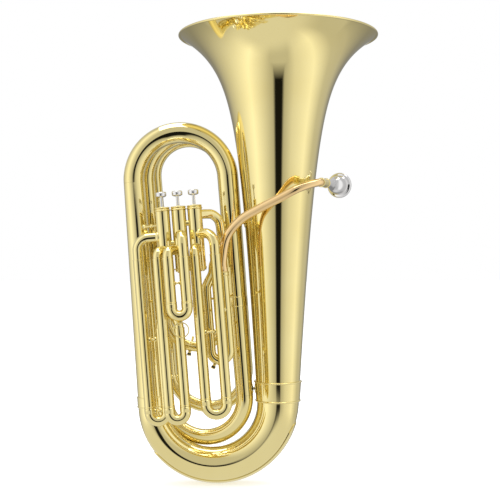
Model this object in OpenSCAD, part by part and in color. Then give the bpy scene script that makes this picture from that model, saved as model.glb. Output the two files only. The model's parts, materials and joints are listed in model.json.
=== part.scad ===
// Three-valve tuba, three-quarter size, with top-action pistons.
// Row frame: +Z up along the bell, -Y the valve side, origin where the lowest point of
// the bottom bow rests in a lap or a stand. Millimetres.
// The branches and valves lean in their own frame [u, v, w]: u to the right, v to the
// back, w up along the branches.

/* [Bell] */
// Radius of the bell at its rim
bell_rim_r = 186.5; // [175:0.5:190]
// Radius of the bell where it meets the bottom bow
bell_throat_r = 38.8; // [38:0.1:40]
// Height of the rim above the bottom bow's lowest point
bell_top = 832; // [815:1:850]

/* [Branches] */
// Lean of the branches away from the bell, in degrees
lean = 4.5; // [4:0.1:5]
// Wall thickness of the sheet brass
wall = 0.9; // [0.8:0.05:1.1]
// Place of the first branch across the body
left_u = -85; // [-88:0.5:-82]
// Place of the second branch across the body
right_u = 88.6; // [86:0.2:90]

/* [Valves] */
// Distance between neighbouring valves
valve_pitch = 29; // [28.5:0.1:30]
// Outer radius of a valve casing
casing_r = 13; // [12.8:0.1:13.4]
// Radius of the casing's bore
cylinder_r = 11.6; // [11.4:0.1:11.8]
// Stroke of a piston
stroke = 17; // [15:0.5:17]

/* [Slides] */
// Outer radius of an outer slide tube
sleeve_r = 9.5; // [9.3:0.1:9.7]
// Outer radius of an inner slide tube
inner_r = 8.75; // [8.5:0.05:8.9]
// Radial gap between an inner slide tube and its sleeve
slide_gap = 0.05; // [0.03:0.01:0.1]

/* [Mouthpiece] */
// Outer radius of the mouthpiece's rim
mouthpiece_r = 23; // [21:0.5:24]

/* [Hidden] */
$fn = 48;
eps = 0.01;

brass = [0.86, 0.78, 0.47];
rose_brass = [0.84, 0.60, 0.40];
silver = [0.85, 0.85, 0.87];
cork_black = [0.08, 0.08, 0.08];

// Radii of the main bore's outside, from the bell back towards the valves
r_bow_mid = 33;
r_bow_end = 25;
r_first_top = 19.5;
r_second_top = 18.8;
r_second_joint = 17.6;
r_second_low = 15.9;
r_third_low = 14;
r_third_top = 13;
r_fourth_top = 12.6;
r_fourth_low = 11.8;
r_fifth_low = 11;
r_fifth_top = 10.2;
r_sixth_top = 9.9;
r_sixth_low = 9.5;

// The bottom bow turns from straight down to straight up the leaning first branch.
// Its axis is over the origin.
branch_gap = 150;           // from the origin of the branches' frame to the bell's axis
bow_r = (branch_gap * cos(lean) - left_u) / (1 + cos(lean));
bell_x = bow_r;
branch_x = bell_x - branch_gap;
guard_skin = 1.2;
joint_z = bow_r + r_bow_mid + guard_skin;
bell_bottom = joint_z + 21; // end of the bell inside its ferrule
bow_turn = 180 - lean;
bow_end_w = -(bell_x - bow_r * (1 + cos(lean)) - branch_x) * sin(lean)
    - bow_r * sin(lean) * cos(lean);

// Places of the legs, [u, v]
leg_1 = [left_u, 0];
leg_2 = [right_u, 0];
leg_3 = [-63, 36];
leg_4 = [96, 38];
leg_5 = [-49, 64];
leg_6 = [78, 68];
tuning_left = [-45, 18];
tuning_right = [65, 18];

// Heights of the ends of the legs, w
top_w = 414;
second_top_w = 417;
third_top_w = 426;
second_low_w = 5;
third_low_w = 53;
ferrule_low_w = 170;
ferrule_high_w = 189;
second_joint_w = (ferrule_low_w + ferrule_high_w) / 2;

// Valve group
valve_v = -62;
valve_mid_u = -3;
valve_u = [valve_mid_u + valve_pitch, valve_mid_u, valve_mid_u - valve_pitch];
casing_low = 250;
casing_high = 354;
cap_top = 362;
cap_r = 13.8;
port_high = 309;
port_low = 283;
outlet_w = 317;
stem_r = 2.6;
button_low = cap_top + stroke + 0.6;
button_r = 9.5;
piston_gap = 0.05;
piston_low = 270;
piston_high = 346;

// Slides: places of the legs, [u, v], ends of the sleeves, and the crook's height
sleeve_top = 271;
slide_1_legs = [[21, -92], [57.6, -92]];
slide_2_legs = [[-24.7, -112], [2.5, -112]];
slide_3_outer_legs = [[-82, valve_v], [-52, valve_v]];
slide_3_inner_legs = [[-44, -92], [-16, -92]];
crook_1_w = 6;
crook_2_w = 181;
crook_3_outer_w = -6;
crook_3_inner_w = -3;
tuning_w = 162;
tuning_crook_w = tuning_w - 7.3;
tuning_top = 232;
link_w = 146;
link_r = 8.3;

// Leadpipe, its crook and its riser
lead_v = -65;
lead_crook_legs = [[36, lead_v], [69, lead_v]];
lead_crook_w = 96;
lead_joint_w = 238;
lead_r = 8.6;
riser_post = [70, -40];
riser_port_w = 344;

// Mouthpiece axis: the receiver's mouth and the way it points
receiver_mouth = [bell_x + 84, -78, 552];
mouth_turn = 64;            // degrees from +X towards +Y
receiver_depth = 26;
receiver_bore_r = 6.4;
lead_end_r = 6.9;
lip_w = 92;                 // from the shank's tip to the rim

// ---------- shared shapes ----------

module branches() {
    translate([branch_x, 0, joint_z]) rotate([0, -lean, 0]) children();
}

function mix(a, b, t) = a + (b - a) * t;
function smooth(t) = t * t * (3 - 2 * t);
function unit(a) = a / norm(a);

// Points of an arc in the u-w plane, whose v moves smoothly from v0 to v1
function bend(u, w, r, a0, a1, v0, v1, n) = [
    for (i = [0:n])
        let (t = i / n, a = mix(a0, a1, t))
        [u + r * cos(a), mix(v0, v1, smooth(t)), w + r * sin(a)]
];

// Points of a smooth curve through P, n of them to each stretch
function curve_point(a, b, c, d, t) = 0.5 * (2 * b + (c - a) * t
    + (2 * a - 5 * b + 4 * c - d) * t * t + (3 * b - a - 3 * c + d) * t * t * t);
function curve(P, n) = concat([
    for (k = [1:len(P) - 3], i = [0:n - 1])
        curve_point(P[k - 1], P[k], P[k + 1], P[k + 2], i / n)
], [P[len(P) - 2]]);
function with_ends(P, before, after) = concat([P[0] - before], P, [P[len(P) - 1] + after]);

function tangent(P, i, t0, t1) =
    i == 0 ? unit(t0) :
    i == len(P) - 1 ? unit(t1) :
    unit(P[i + 1] - P[i - 1]);

function ring(p, t, r, sides, side_axis) =
    let (a = unit(cross(t, side_axis)), b = cross(t, a))
    [for (k = [0:sides - 1]) p + r * (cos(360 * k / sides) * a + sin(360 * k / sides) * b)];

// A hollow swept tube along P with outer radii R, cut square to t0 and t1 at its ends
module swept(P, R, t0, t1, sides = 20, side_axis = [0, 1, 0], thickness = wall) {
    n = len(P);
    points = concat(
        [for (i = [0:n - 1]) each ring(P[i], tangent(P, i, t0, t1), R[i], sides, side_axis)],
        [for (i = [0:n - 1])
            each ring(P[i], tangent(P, i, t0, t1), R[i] - thickness, sides, side_axis)]
    );
    inner = n * sides;
    outside = [for (i = [0:n - 2], k = [0:sides - 1])
        let (a = i * sides + k, b = i * sides + (k + 1) % sides)
        each [[a, a + sides, b], [b, a + sides, b + sides]]];
    inside = [for (i = [0:n - 2], k = [0:sides - 1])
        let (a = inner + i * sides + k, b = inner + i * sides + (k + 1) % sides)
        each [[a, b, a + sides], [b, b + sides, a + sides]]];
    first = [for (k = [0:sides - 1])
        let (a = k, b = (k + 1) % sides) each [[a, b, inner + a], [b, inner + b, inner + a]]];
    last = [for (k = [0:sides - 1])
        let (a = (n - 1) * sides + k, b = (n - 1) * sides + (k + 1) % sides)
        each [[a, inner + a, b], [b, inner + a, inner + b]]];
    polyhedron(points, concat(outside, inside, first, last));
}

function taper(r0, r1, n) = [for (i = [0:n]) mix(r0, r1, i / n)];

// An upright hollow tube or cone at leg [u, v], from w0 up to w1
module leg(at, w0, w1, r0, r1, thickness = wall) {
    translate([at[0], at[1], w0]) difference() {
        cylinder(h = w1 - w0, r1 = r0, r2 = r1);
        translate([0, 0, -1]) cylinder(
            h = w1 - w0 + 2,
            r1 = r0 - thickness + (r0 - r1) / (w1 - w0),
            r2 = r1 - thickness - (r0 - r1) / (w1 - w0));
    }
}

// A collar with a bead at each end around an upright tube at leg [u, v]
module collar(at, w0, w1, bore0, bore1, thickness = 1, bead = 0.8) {
    translate([at[0], at[1], 0]) rotate_extrude() union() {
        polygon([[bore0, w0], [bore0 + thickness, w0], [bore1 + thickness, w1], [bore1, w1]]);
        translate([bore0 + thickness, w0 + bead]) circle(r = bead, $fn = 24);
        translate([bore1 + thickness, w1 - bead]) circle(r = bead, $fn = 24);
    }
}

// A half-round bow of constant bore, hanging below height w between two legs
module u_crook(legs, w, r, thickness = wall, up = false) {
    across = legs[1] - legs[0];
    span = norm(across);
    mid = (legs[0] + legs[1]) / 2;
    translate([mid[0], mid[1], w])
        rotate([0, 0, atan2(across[1], across[0])])
        mirror([0, 0, up ? 0 : 1])
        rotate([90, 0, 0])
        rotate_extrude(angle = 180) translate([span / 2, 0]) difference() {
            circle(r = r);
            circle(r = r - thickness);
        }
}

// A quarter-round elbow that leaves a casing at height w and turns down to reach a leg
module port_elbow(from, to, w, down_to, r, bend_r, start_r = casing_r, thickness = wall) {
    across = to - from;
    span = norm(across);
    translate([from[0], from[1], w]) rotate([0, 0, atan2(across[1], across[0])]) {
        difference() {
            rotate([0, 90, 0]) cylinder(h = span - bend_r, r = r);
            rotate([0, 90, 0]) translate([0, 0, -1])
                cylinder(h = span - bend_r + 2, r = r - thickness);
            translate([0, 0, -2 * casing_r])
                cylinder(h = 4 * casing_r, r = start_r + 0.02);
        }
        translate([span - bend_r, 0, -bend_r]) rotate([90, 0, 0])
            rotate_extrude(angle = 90) translate([bend_r, 0]) difference() {
                circle(r = r);
                circle(r = r - thickness);
            }
        translate([span, 0, down_to - w]) difference() {
            cylinder(h = w - bend_r - down_to, r = r);
            translate([0, 0, -1]) cylinder(h = w - bend_r - down_to + 2, r = r - thickness);
        }
    }
}

// ---------- bell and bottom bow ----------

// Outer radius of the bell at height z: a straight taper and two widening terms
bell_taper = 0.05;
flare_long = 190;
flare_short = 48;
long_share = 0.4;
flare_sum = bell_rim_r - bell_throat_r - bell_taper * (bell_top - bell_bottom);
function bell_r(z) = bell_throat_r + bell_taper * (z - bell_bottom)
    + long_share * flare_sum * exp((z - bell_top) / flare_long)
    + (1 - long_share) * flare_sum * exp((z - bell_top) / flare_short);

bell_steps = 34;
bell_lip = 2.4;             // the rim's rolled edge takes up this much height
// Heights are closer together towards the rim, where the bell curves most
function bell_z(i) = mix(bell_bottom, bell_top - bell_lip, 1 - pow(1 - i / bell_steps, 1.8));

module bell() {
    color(brass) translate([bell_x, 0, 0]) rotate_extrude($fn = 96) polygon(concat(
        [for (i = [0:bell_steps]) [bell_r(bell_z(i)), bell_z(i)]],
        [for (i = [bell_steps:-1:0]) [bell_r(bell_z(i)) - wall, bell_z(i)]]
    ));
}

rim_bead_r = 2.2;
module bell_rim_wire() {
    edge = bell_r(bell_top - bell_lip);
    color(brass) translate([bell_x, 0, 0]) rotate_extrude($fn = 96)
        translate([edge + 0.3, bell_top]) difference() {
            translate([0, -rim_bead_r]) circle(r = rim_bead_r, $fn = 32);
            translate([-5, -0.4]) square([10, 5]);
            translate([-6, -5 - bell_lip]) square([5.7 + eps, 5]);
        }
}

ferrule_skin = 2;
module bell_ferrule() {
    z0 = joint_z + 1;
    z1 = joint_z + 39;
    bead = 1.5;
    color(brass) translate([bell_x, 0, 0]) rotate_extrude($fn = 96) union() {
        polygon([
            [bell_r(z0) + 0.05, z0], [bell_r(z0) + ferrule_skin, z0],
            [bell_r(z1) + ferrule_skin, z1], [bell_r(z1) + 0.05, z1]
        ]);
        translate([bell_r(z0) + ferrule_skin, z0 + bead]) circle(r = bead, $fn = 24);
        translate([bell_r(z1) + ferrule_skin, z1 - bead]) circle(r = bead, $fn = 24);
    }
}

bow_rings = 24;
bow_start_r = bell_r(bell_bottom);
function bow_centre_r(t) =
    t < 0.5 ? mix(bell_r(joint_z), r_bow_mid, t / 0.5)
            : mix(r_bow_mid, r_bow_end, (t - 0.5) / 0.5);
function bow_point(t) = let (a = -bow_turn * t)
    [bell_x - bow_r + bow_r * cos(a), 0, joint_z + bow_r * sin(a)];

module bottom_bow() {
    path = concat([[bell_x, 0, bell_bottom]], [for (i = [0:bow_rings]) bow_point(i / bow_rings)]);
    radii = concat([bow_start_r], [for (i = [0:bow_rings]) bow_centre_r(i / bow_rings)]);
    color(brass) swept(path, radii, [0, 0, -1], [-sin(lean), 0, cos(lean)], sides = 28);
}

// A thin plate that follows the outside of the bottom bow and takes its knocks
guard_first = 0.08;
guard_last = 0.80;
guard_rings = 18;
guard_half = 38;            // half the angle that the plate wraps round the bow
guard_sides = 8;
guard_t = 1.1;
module bow_guard() {
    function spoke(t) = unit(bow_point(t) - [bell_x - bow_r, 0, joint_z]);
    function place(t, a, r) = bow_point(t) + r * (cos(a) * spoke(t) + [0, sin(a), 0]);
    row = guard_sides + 1;
    function shell(extra) = [
        for (i = [0:guard_rings], k = [0:guard_sides])
            let (t = mix(guard_first, guard_last, i / guard_rings))
            place(t, mix(-guard_half, guard_half, k / guard_sides), bow_centre_r(t) + extra)
    ];
    lift = 0.35;
    in = (guard_rings + 1) * row;
    quads = [for (i = [0:guard_rings - 1], k = [0:guard_sides - 1]) i * row + k];
    faces = concat(
        [for (a = quads) each [[a, a + 1, a + row], [a + 1, a + row + 1, a + row]]],
        [for (a = quads) each [[in + a, in + a + row, in + a + 1],
            [in + a + 1, in + a + row, in + a + row + 1]]],
        [for (i = [0:guard_rings - 1]) let (a = i * row)
            each [[a, a + row, in + a], [a + row, in + a + row, in + a]]],
        [for (i = [0:guard_rings - 1]) let (a = i * row + guard_sides)
            each [[a, in + a, a + row], [a + row, in + a, in + a + row]]],
        [for (k = [0:guard_sides - 1])
            each [[k, in + k, k + 1], [k + 1, in + k, in + k + 1]]],
        [for (k = [0:guard_sides - 1]) let (a = guard_rings * row + k)
            each [[a, a + 1, in + a], [a + 1, in + a + 1, in + a]]]
    );
    color(brass) polyhedron(concat(shell(lift + guard_t), shell(lift)), faces);
}

module bow_ferrule() {
    low = bow_end_w;
    color(brass) branches() collar(leg_1, low, low + 20,
        r_bow_end + 0.05, r_bow_end - 0.2 + 0.05, 1.2, 1);
}

// ---------- branches and bows ----------

module first_branch() {
    color(brass) branches() leg(leg_1, bow_end_w, top_w, r_bow_end, r_first_top);
}

module arch_bow(from, to, w, r0, r1, rings, sides, over) {
    mid = (from[0] + to[0]) / 2;
    span = to[0] - from[0];
    start = span > 0 ? 180 : 0;
    way = (span > 0) == over ? -1 : 1;
    branches() swept(
        bend(mid, w, abs(span) / 2, start, start + 180 * way, from[1], to[1], rings),
        taper(r0, r1, rings),
        [0, 0, over ? 1 : -1], [0, 0, over ? -1 : 1], sides);
}

module top_bow() {
    color(brass) arch_bow(leg_1, leg_2, top_w, r_first_top, r_second_top, 22, 24, true);
}

module second_branch() {
    color(brass) branches()
        leg(leg_2, second_joint_w, top_w, r_second_joint, r_second_top);
}

module second_branch_ferrule() {
    color(brass) branches() collar(leg_2, ferrule_low_w, ferrule_high_w,
        r_second_joint + 0.1, r_second_joint + 0.1, 0.8, 0.7);
}

module second_branch_lower() {
    color(brass) branches()
        leg(leg_2, second_low_w, second_joint_w,
            r_second_low, r_second_joint);
}

module second_bottom_bow() {
    color(brass)
        arch_bow(leg_2, leg_3, second_low_w, r_second_low, r_third_low, 20, 22, false);
}

module third_branch() {
    color(brass) branches() leg(leg_3, second_low_w, second_top_w, r_third_low, r_third_top);
}

module second_top_bow() {
    color(brass)
        arch_bow(leg_3, leg_4, second_top_w, r_third_top, r_fourth_top, 18, 18, true);
}

module fourth_branch() {
    color(brass) branches() leg(leg_4, third_low_w, second_top_w, r_fourth_low, r_fourth_top);
}

module third_bottom_bow() {
    color(brass)
        arch_bow(leg_4, leg_5, third_low_w, r_fourth_low, r_fifth_low, 18, 18, false);
}

module fifth_branch() {
    color(brass) branches() leg(leg_5, third_low_w, third_top_w, r_fifth_low, r_fifth_top);
}

module third_top_bow() {
    color(brass)
        arch_bow(leg_5, leg_6, third_top_w, r_fifth_top, r_sixth_top, 16, 16, true);
}

// Down from the third top bow, then forward on an S to the tuning slide's right sleeve
module sixth_branch() {
    up = [0, 0, 40];
    path = curve(with_ends([
        [leg_6[0], leg_6[1], third_top_w], [leg_6[0], leg_6[1], 345],
        [leg_6[0] - 1, leg_6[1] - 4, 312], [70, 41, 272],
        [tuning_right[0] + 0.5, tuning_right[1] + 2, 244],
        [tuning_right[0], tuning_right[1], tuning_top]
    ], -up, -up), 4);
    color(brass) branches() swept(path, taper(r_sixth_top, r_sixth_low, len(path) - 1),
        -up, -up, 16);
}

module tuning_sleeves() {
    color(brass) branches() for (at = [tuning_left, tuning_right])
        difference() {
            union() {
                translate([at[0], at[1], tuning_w + 2])
                    cylinder(h = tuning_top - tuning_w - 2, r = sleeve_r);
                translate([at[0], at[1], tuning_w + 2]) cylinder(h = 3, r = sleeve_r + 0.7);
            }
            translate([at[0], at[1], tuning_w])
                cylinder(h = tuning_top - tuning_w - 1, r = inner_r + slide_gap);
            translate([at[0], at[1], tuning_w])
                cylinder(h = tuning_top - tuning_w + 2, r = inner_r - wall);
        }
}

module valve_outlet() {
    color(brass) branches() port_elbow([valve_u[2], valve_v], tuning_left, outlet_w,
        tuning_top, sleeve_r, 26);
}

// ---------- valves ----------

// The two slide ports and the knuckle or pipe ports of valve n, as radial drills
function port_ways(n) = [
    n == 0 ? [slide_1_legs[1], port_high] :
    n == 1 ? [slide_2_legs[1], port_high] : [slide_3_outer_legs[0], port_high],
    n == 0 ? [slide_1_legs[0], port_low] :
    n == 1 ? [slide_2_legs[0], port_low] : [slide_3_inner_legs[0], port_low]
];

port_bore_r = inner_r - wall;
knuckle_w = [riser_port_w - 14, 296];
knuckle_r = 5.2;

module port_drill(n, to, w) {
    from = [valve_u[n], valve_v];
    across = to - from;
    translate([from[0], from[1], w]) rotate([0, 0, atan2(across[1], across[0])])
        rotate([0, 90, 0]) cylinder(h = 2 * casing_r, r = port_bore_r);
}

module valve_casings() {
    color(brass) branches() for (n = [0:2]) difference() {
        translate([valve_u[n], valve_v, casing_low])
            cylinder(h = casing_high - casing_low, r = casing_r, $fn = 64);
        translate([valve_u[n], valve_v, casing_low - 1])
            cylinder(h = casing_high - casing_low + 2, r = cylinder_r, $fn = 64);
        for (way = port_ways(n)) port_drill(n, way[0], way[1]);
        if (n == 0) port_drill(n, riser_post, riser_port_w - 2);
        if (n == 2) port_drill(n, tuning_left, outlet_w);
        if (n < 2) port_drill_knuckle(n, -1, knuckle_w[n]);
        if (n > 0) port_drill_knuckle(n, 1, knuckle_w[n - 1]);
    }
}

module port_drill_knuckle(n, side, w) {
    translate([valve_u[n], valve_v, w]) rotate([0, side * 90, 0])
        cylinder(h = 2 * casing_r, r = knuckle_r - wall);
}

module valve_top_caps() {
    color(brass) branches() for (u = valve_u) translate([u, valve_v, 0]) rotate_extrude()
        difference() {
            union() {
                translate([0, casing_high]) square([cap_r, cap_top - casing_high - 1.5]);
                translate([0, cap_top - 3]) square([cap_r - 1.2, 3]);
                translate([cap_r - 1, casing_high + 1.6]) circle(r = 1.6, $fn = 24);
                translate([cap_r - 1.2, cap_top - 1.9]) circle(r = 1.5, $fn = 24);
            }
            translate([-1, casing_high - 1]) square([cylinder_r - 1 + 1, 7]);
            translate([-1, casing_high - 1]) square([stem_r + 0.3 + 1, 20]);
        }
}

module valve_bottom_caps() {
    color(brass) branches() for (u = valve_u) translate([u, valve_v, 0]) rotate_extrude()
        difference() {
            union() {
                translate([0, casing_low - 6]) square([casing_r + 0.2, 6]);
                translate([casing_r, casing_low - 1.5]) circle(r = 1.4, $fn = 24);
                translate([0, casing_low - 8]) square([casing_r - 3, 2.5]);
            }
            translate([-1, casing_low - 5]) square([cylinder_r - 1 + 1, 6]);
            translate([-1, casing_low - 9]) square([3, 5]);
        }
}

module valve_knuckles() {
    color(brass) branches() for (n = [0, 1]) difference() {
        translate([valve_u[n], valve_v, knuckle_w[n]]) rotate([0, -90, 0])
            cylinder(h = valve_pitch, r = knuckle_r);
        translate([valve_u[n], valve_v, knuckle_w[n]]) rotate([0, -90, 0])
            translate([0, 0, -1]) cylinder(h = valve_pitch + 2, r = knuckle_r - wall);
        for (u = [valve_u[n], valve_u[n + 1]]) translate([u, valve_v, casing_low])
            cylinder(h = casing_high - casing_low, r = casing_r + 0.02, $fn = 64);
    }
}

// The piston is a hollow drum with passages drilled through it
module piston(n) {
    color(silver) branches() translate([valve_u[n], valve_v, 0]) difference() {
        translate([0, 0, piston_low])
            cylinder(h = piston_high - piston_low, r = cylinder_r - piston_gap, $fn = 64);
        translate([0, 0, piston_low - 1]) cylinder(h = 6, r = cylinder_r - 2.4);
        translate([0, 0, piston_high - 5]) cylinder(h = 6, r = cylinder_r - 2.4);
        for (passage = [[30, port_high], [100, port_low + 1], [160, piston_high - 14]])
            translate([0, 0, passage[1]]) rotate([0, 0, passage[0]]) rotate([0, 90, 0])
                translate([0, 0, -20]) cylinder(h = 40, r = port_bore_r);
    }
}

module finger_button(n) {
    color(silver) branches() translate([valve_u[n], valve_v, 0]) union() {
        translate([0, 0, piston_high - 5]) cylinder(h = button_low - piston_high + 6, r = stem_r);
        translate([0, 0, piston_high - 4.8]) cylinder(h = 3, r = cylinder_r - 3);
        rotate_extrude() union() {
            translate([0, button_low]) square([button_r - 2.6, 9.6]);
            translate([0, button_low + 1.6]) square([button_r - 1, 6.4]);
            translate([button_r - 2, button_low + 3]) circle(r = 2, $fn = 24);
            translate([button_r - 2, button_low + 6.8]) circle(r = 2, $fn = 24);
        }
    }
}

// A conical spring, whose turns close into one another, from the bottom cap up into
// the piston's open foot
spring_turns = 4;
spring_wire = 0.8;
spring_low_r = 8.8;
spring_high_r = 5;
spring_rings = 44;
module valve_spring(n) {
    high = piston_low + 5 - 0.3 - spring_wire;
    low = casing_low - 5 + 0.3 + spring_wire;
    path = [for (i = [0:spring_rings])
        let (t = i / spring_rings, a = 360 * spring_turns * t,
            r = mix(spring_low_r, spring_high_r, t))
        [r * cos(a), r * sin(a), mix(low, high, t)]];
    rise = (high - low) / (spring_turns * PI * (spring_low_r + spring_high_r));
    color(silver) branches() translate([valve_u[n], valve_v, 0])
        rod_along(path, spring_wire, [0, 1, rise], [0, 1, rise], 6, [0, 0, 1]);
}

// A solid round rod along P
module rod_along(P, r, t0, t1, sides, side_axis) {
    n = len(P);
    points = concat([P[0]],
        [for (i = [0:n - 1]) each ring(P[i], tangent(P, i, t0, t1), r, sides, side_axis)],
        [P[n - 1]]);
    wall_faces = [for (i = [0:n - 2], k = [0:sides - 1])
        let (a = 1 + i * sides + k, b = 1 + i * sides + (k + 1) % sides)
        each [[a, a + sides, b], [b, a + sides, b + sides]]];
    ends = [for (k = [0:sides - 1]) each [
        [0, 1 + k, 1 + (k + 1) % sides],
        [n * sides + 1, 1 + (n - 1) * sides + (k + 1) % sides, 1 + (n - 1) * sides + k]]];
    polyhedron(points, concat(wall_faces, ends));
}

// ---------- slides ----------

module sleeves(legs, low, high = sleeve_top) {
    for (i = [0, 1]) let (at = legs[i]) difference() {
        union() {
            translate([at[0], at[1], low]) cylinder(h = high - low, r = sleeve_r);
            translate([at[0], at[1], high - 2]) cylinder(h = 2, r = sleeve_r + 0.35);
            translate([at[0], at[1], low]) cylinder(h = 2.5, r = sleeve_r + 0.5);
        }
        translate([at[0], at[1], low - 1])
            cylinder(h = high - low, r = inner_r + slide_gap);
        translate([at[0], at[1], low - 1])
            cylinder(h = high - low + 2, r = inner_r - wall);
    }
}

// Two inner tubes and the bow that joins them
module pull_slide(legs, w, tube_top) {
    u_crook(legs, w, sleeve_r);
    for (at = legs) {
        translate([at[0], at[1], w]) difference() {
            union() {
                cylinder(h = 9, r = sleeve_r + 0.5);
                cylinder(h = tube_top - w, r = inner_r);
            }
            translate([0, 0, -1]) cylinder(h = tube_top - w + 2, r = inner_r - wall);
        }
    }
}

// A cross bar with round feet between two tubes of radius r at height w
module cross_bar(a, b, w, ra, rb, bar_r = 1.8) {
    across = b - a;
    span = norm(across);
    translate([a[0], a[1], w]) rotate([0, 0, atan2(across[1], across[0])])
        difference() {
            rotate([0, 90, 0]) union() {
                cylinder(h = span, r = bar_r, $fn = 24);
                cylinder(h = ra + 1.6, r = 2.2 * bar_r, $fn = 24);
                translate([0, 0, span - rb - 1.6]) cylinder(h = rb + 1.6, r = 2.2 * bar_r, $fn = 24);
            }
            translate([0, 0, -20]) cylinder(h = 40, r = ra + 0.02);
            translate([span, 0, -20]) cylinder(h = 40, r = rb + 0.02);
        }
}

module slide_1_ports() {
    color(brass) branches() {
        port_elbow([valve_u[0], valve_v], slide_1_legs[1], port_high, sleeve_top, inner_r, 22);
        port_elbow([valve_u[0], valve_v], slide_1_legs[0], port_low, sleeve_top, inner_r, 11);
    }
}

module slide_1_sleeves() {
    color(brass) branches() {
        sleeves(slide_1_legs, crook_1_w + 9.3);
        cross_bar(slide_1_legs[0], slide_1_legs[1], 134, sleeve_r, sleeve_r, 2.2);
    }
}

module slide_1() {
    color(brass) branches() pull_slide(slide_1_legs, crook_1_w, crook_1_w + 150);
}

module slide_2_ports() {
    color(brass) branches() {
        port_elbow([valve_u[1], valve_v], slide_2_legs[1], port_high, sleeve_top, inner_r, 16);
        port_elbow([valve_u[1], valve_v], slide_2_legs[0], port_low, sleeve_top, inner_r, 11);
    }
}

module slide_2_sleeves() {
    color(brass) branches() {
        sleeves(slide_2_legs, crook_2_w + 9.3);
        cross_bar(slide_2_legs[0], slide_2_legs[1], 225, sleeve_r, sleeve_r, 1.6);
    }
}

ring_boss = 2.2;
module slide_2() {
    mid = (slide_2_legs[0] + slide_2_legs[1]) / 2;
    span = norm(slide_2_legs[1] - slide_2_legs[0]);
    color(brass) branches() {
        pull_slide(slide_2_legs, crook_2_w, crook_2_w + 70);
        translate([mid[0], mid[1], crook_2_w - span / 2 - sleeve_r - ring_boss]) difference() {
            rotate([0, 90, 0]) cylinder(h = 3, r = 2.6, center = true, $fn = 24);
            rotate([0, 90, 0]) cylinder(h = 5, r = 1.25, center = true, $fn = 24);
        }
    }
}

pull_ring_r = 13.2;
pull_ring_wire = 1.05;
pull_ring_w = crook_2_w - norm(slide_2_legs[1] - slide_2_legs[0]) / 2 - sleeve_r - ring_boss;
module slide_2_pull_ring() {
    mid = (slide_2_legs[0] + slide_2_legs[1]) / 2;
    color(brass) branches() translate([mid[0], mid[1], pull_ring_w - pull_ring_r])
        rotate([90, 0, 0]) rotate_extrude() translate([pull_ring_r, 0])
            circle(r = pull_ring_wire, $fn = 24);
}

module slide_3_ports() {
    color(brass) branches() {
        port_elbow([valve_u[2], valve_v], slide_3_outer_legs[0], port_high, sleeve_top,
            inner_r, 22);
        port_elbow([valve_u[2], valve_v], slide_3_inner_legs[0], port_low, sleeve_top,
            inner_r, 11);
    }
}

module slide_3_sleeves() {
    color(brass) branches() {
        for (part = [
            [slide_3_outer_legs[0], crook_3_outer_w, sleeve_top],
            [slide_3_outer_legs[1], crook_3_outer_w, link_w],
            [slide_3_inner_legs[0], crook_3_inner_w, sleeve_top],
            [slide_3_inner_legs[1], crook_3_inner_w, link_w]
        ]) sleeves([part[0], part[0]], part[1] + 9.3, part[2]);
        cross_bar(slide_3_outer_legs[0], slide_3_outer_legs[1], 126, sleeve_r, sleeve_r, 2.2);
        cross_bar(slide_3_inner_legs[0], slide_3_inner_legs[1], 60, sleeve_r, sleeve_r, 1.8);
    }
}

// The fixed bow that joins the third valve's two slides over the top
module slide_3_link_bow() {
    color(brass) branches() u_crook([slide_3_outer_legs[1], slide_3_inner_legs[1]], link_w,
        link_r, up = true);
}

module slide_3_outer() {
    color(brass) branches() {
        pull_slide(slide_3_outer_legs, crook_3_outer_w, crook_3_outer_w + 120);
        cross_bar(slide_3_outer_legs[0], slide_3_outer_legs[1], crook_3_outer_w + 3.4,
            sleeve_r + 0.4, sleeve_r + 0.4, 2.2);
    }
}

module slide_3_inner() {
    color(brass) branches()
        pull_slide(slide_3_inner_legs, crook_3_inner_w, crook_3_inner_w + 120);
}

module tuning_slide() {
    color(brass) branches() difference() {
        pull_slide([tuning_left, tuning_right], tuning_crook_w, tuning_w + 62);
        key_drill(tuning_key);
    }
}

// ---------- leadpipe ----------

lead_top = receiver_mouth - receiver_depth * [cos(mouth_turn), sin(mouth_turn), 0];
function to_row(p) = [
    branch_x + p[0] * cos(lean) - p[2] * sin(lean), p[1],
    joint_z + p[0] * sin(lean) + p[2] * cos(lean)];

module leadpipe() {
    low = to_row([lead_crook_legs[1][0], lead_v, lead_joint_w]);
    up = [-sin(lean), 0, cos(lean)];
    into = [cos(mouth_turn), sin(mouth_turn), 0];
    path = curve(with_ends([
        lead_top,
        [bell_x + 54, -112, 548], [bell_x + 29, -116, 539], [bell_x, -108, 524],
        [bell_x - 34, -96, 507], [bell_x - 68, -83, 487], [bell_x - 93, -72, 457],
        low + 20 * up, low
    ], -20 * into, -20 * up), 4);
    color(rose_brass) swept(path, taper(lead_end_r, lead_r, len(path) - 1), -into, -up, 16,
        [0.6, -0.8, 0]);
}

module mouthpiece_receiver() {
    color(brass) translate(lead_top) rotate([0, 90, mouth_turn]) difference() {
        union() {
            cylinder(h = receiver_depth, r = 7.9);
            translate([0, 0, receiver_depth - 4]) cylinder(h = 4, r = 8.9);
            cylinder(h = 3, r = 8.5);
        }
        translate([0, 0, 1]) cylinder(h = receiver_depth, r = receiver_bore_r);
        translate([0, 0, -1]) cylinder(h = 3, r = lead_end_r - 1.3);
    }
}

module leadpipe_crook() {
    color(brass) branches() difference() {
        union() {
            u_crook(lead_crook_legs, lead_crook_w, lead_r);
            leg(lead_crook_legs[0], lead_crook_w, 205, lead_r, lead_r);
            leg(lead_crook_legs[1], lead_crook_w, lead_joint_w, lead_r, lead_r);
            collar(lead_crook_legs[1], lead_joint_w - 8, lead_joint_w, lead_r, lead_r, 0.8, 0.9);
        }
        key_drill(leadpipe_key);
    }
}

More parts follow.
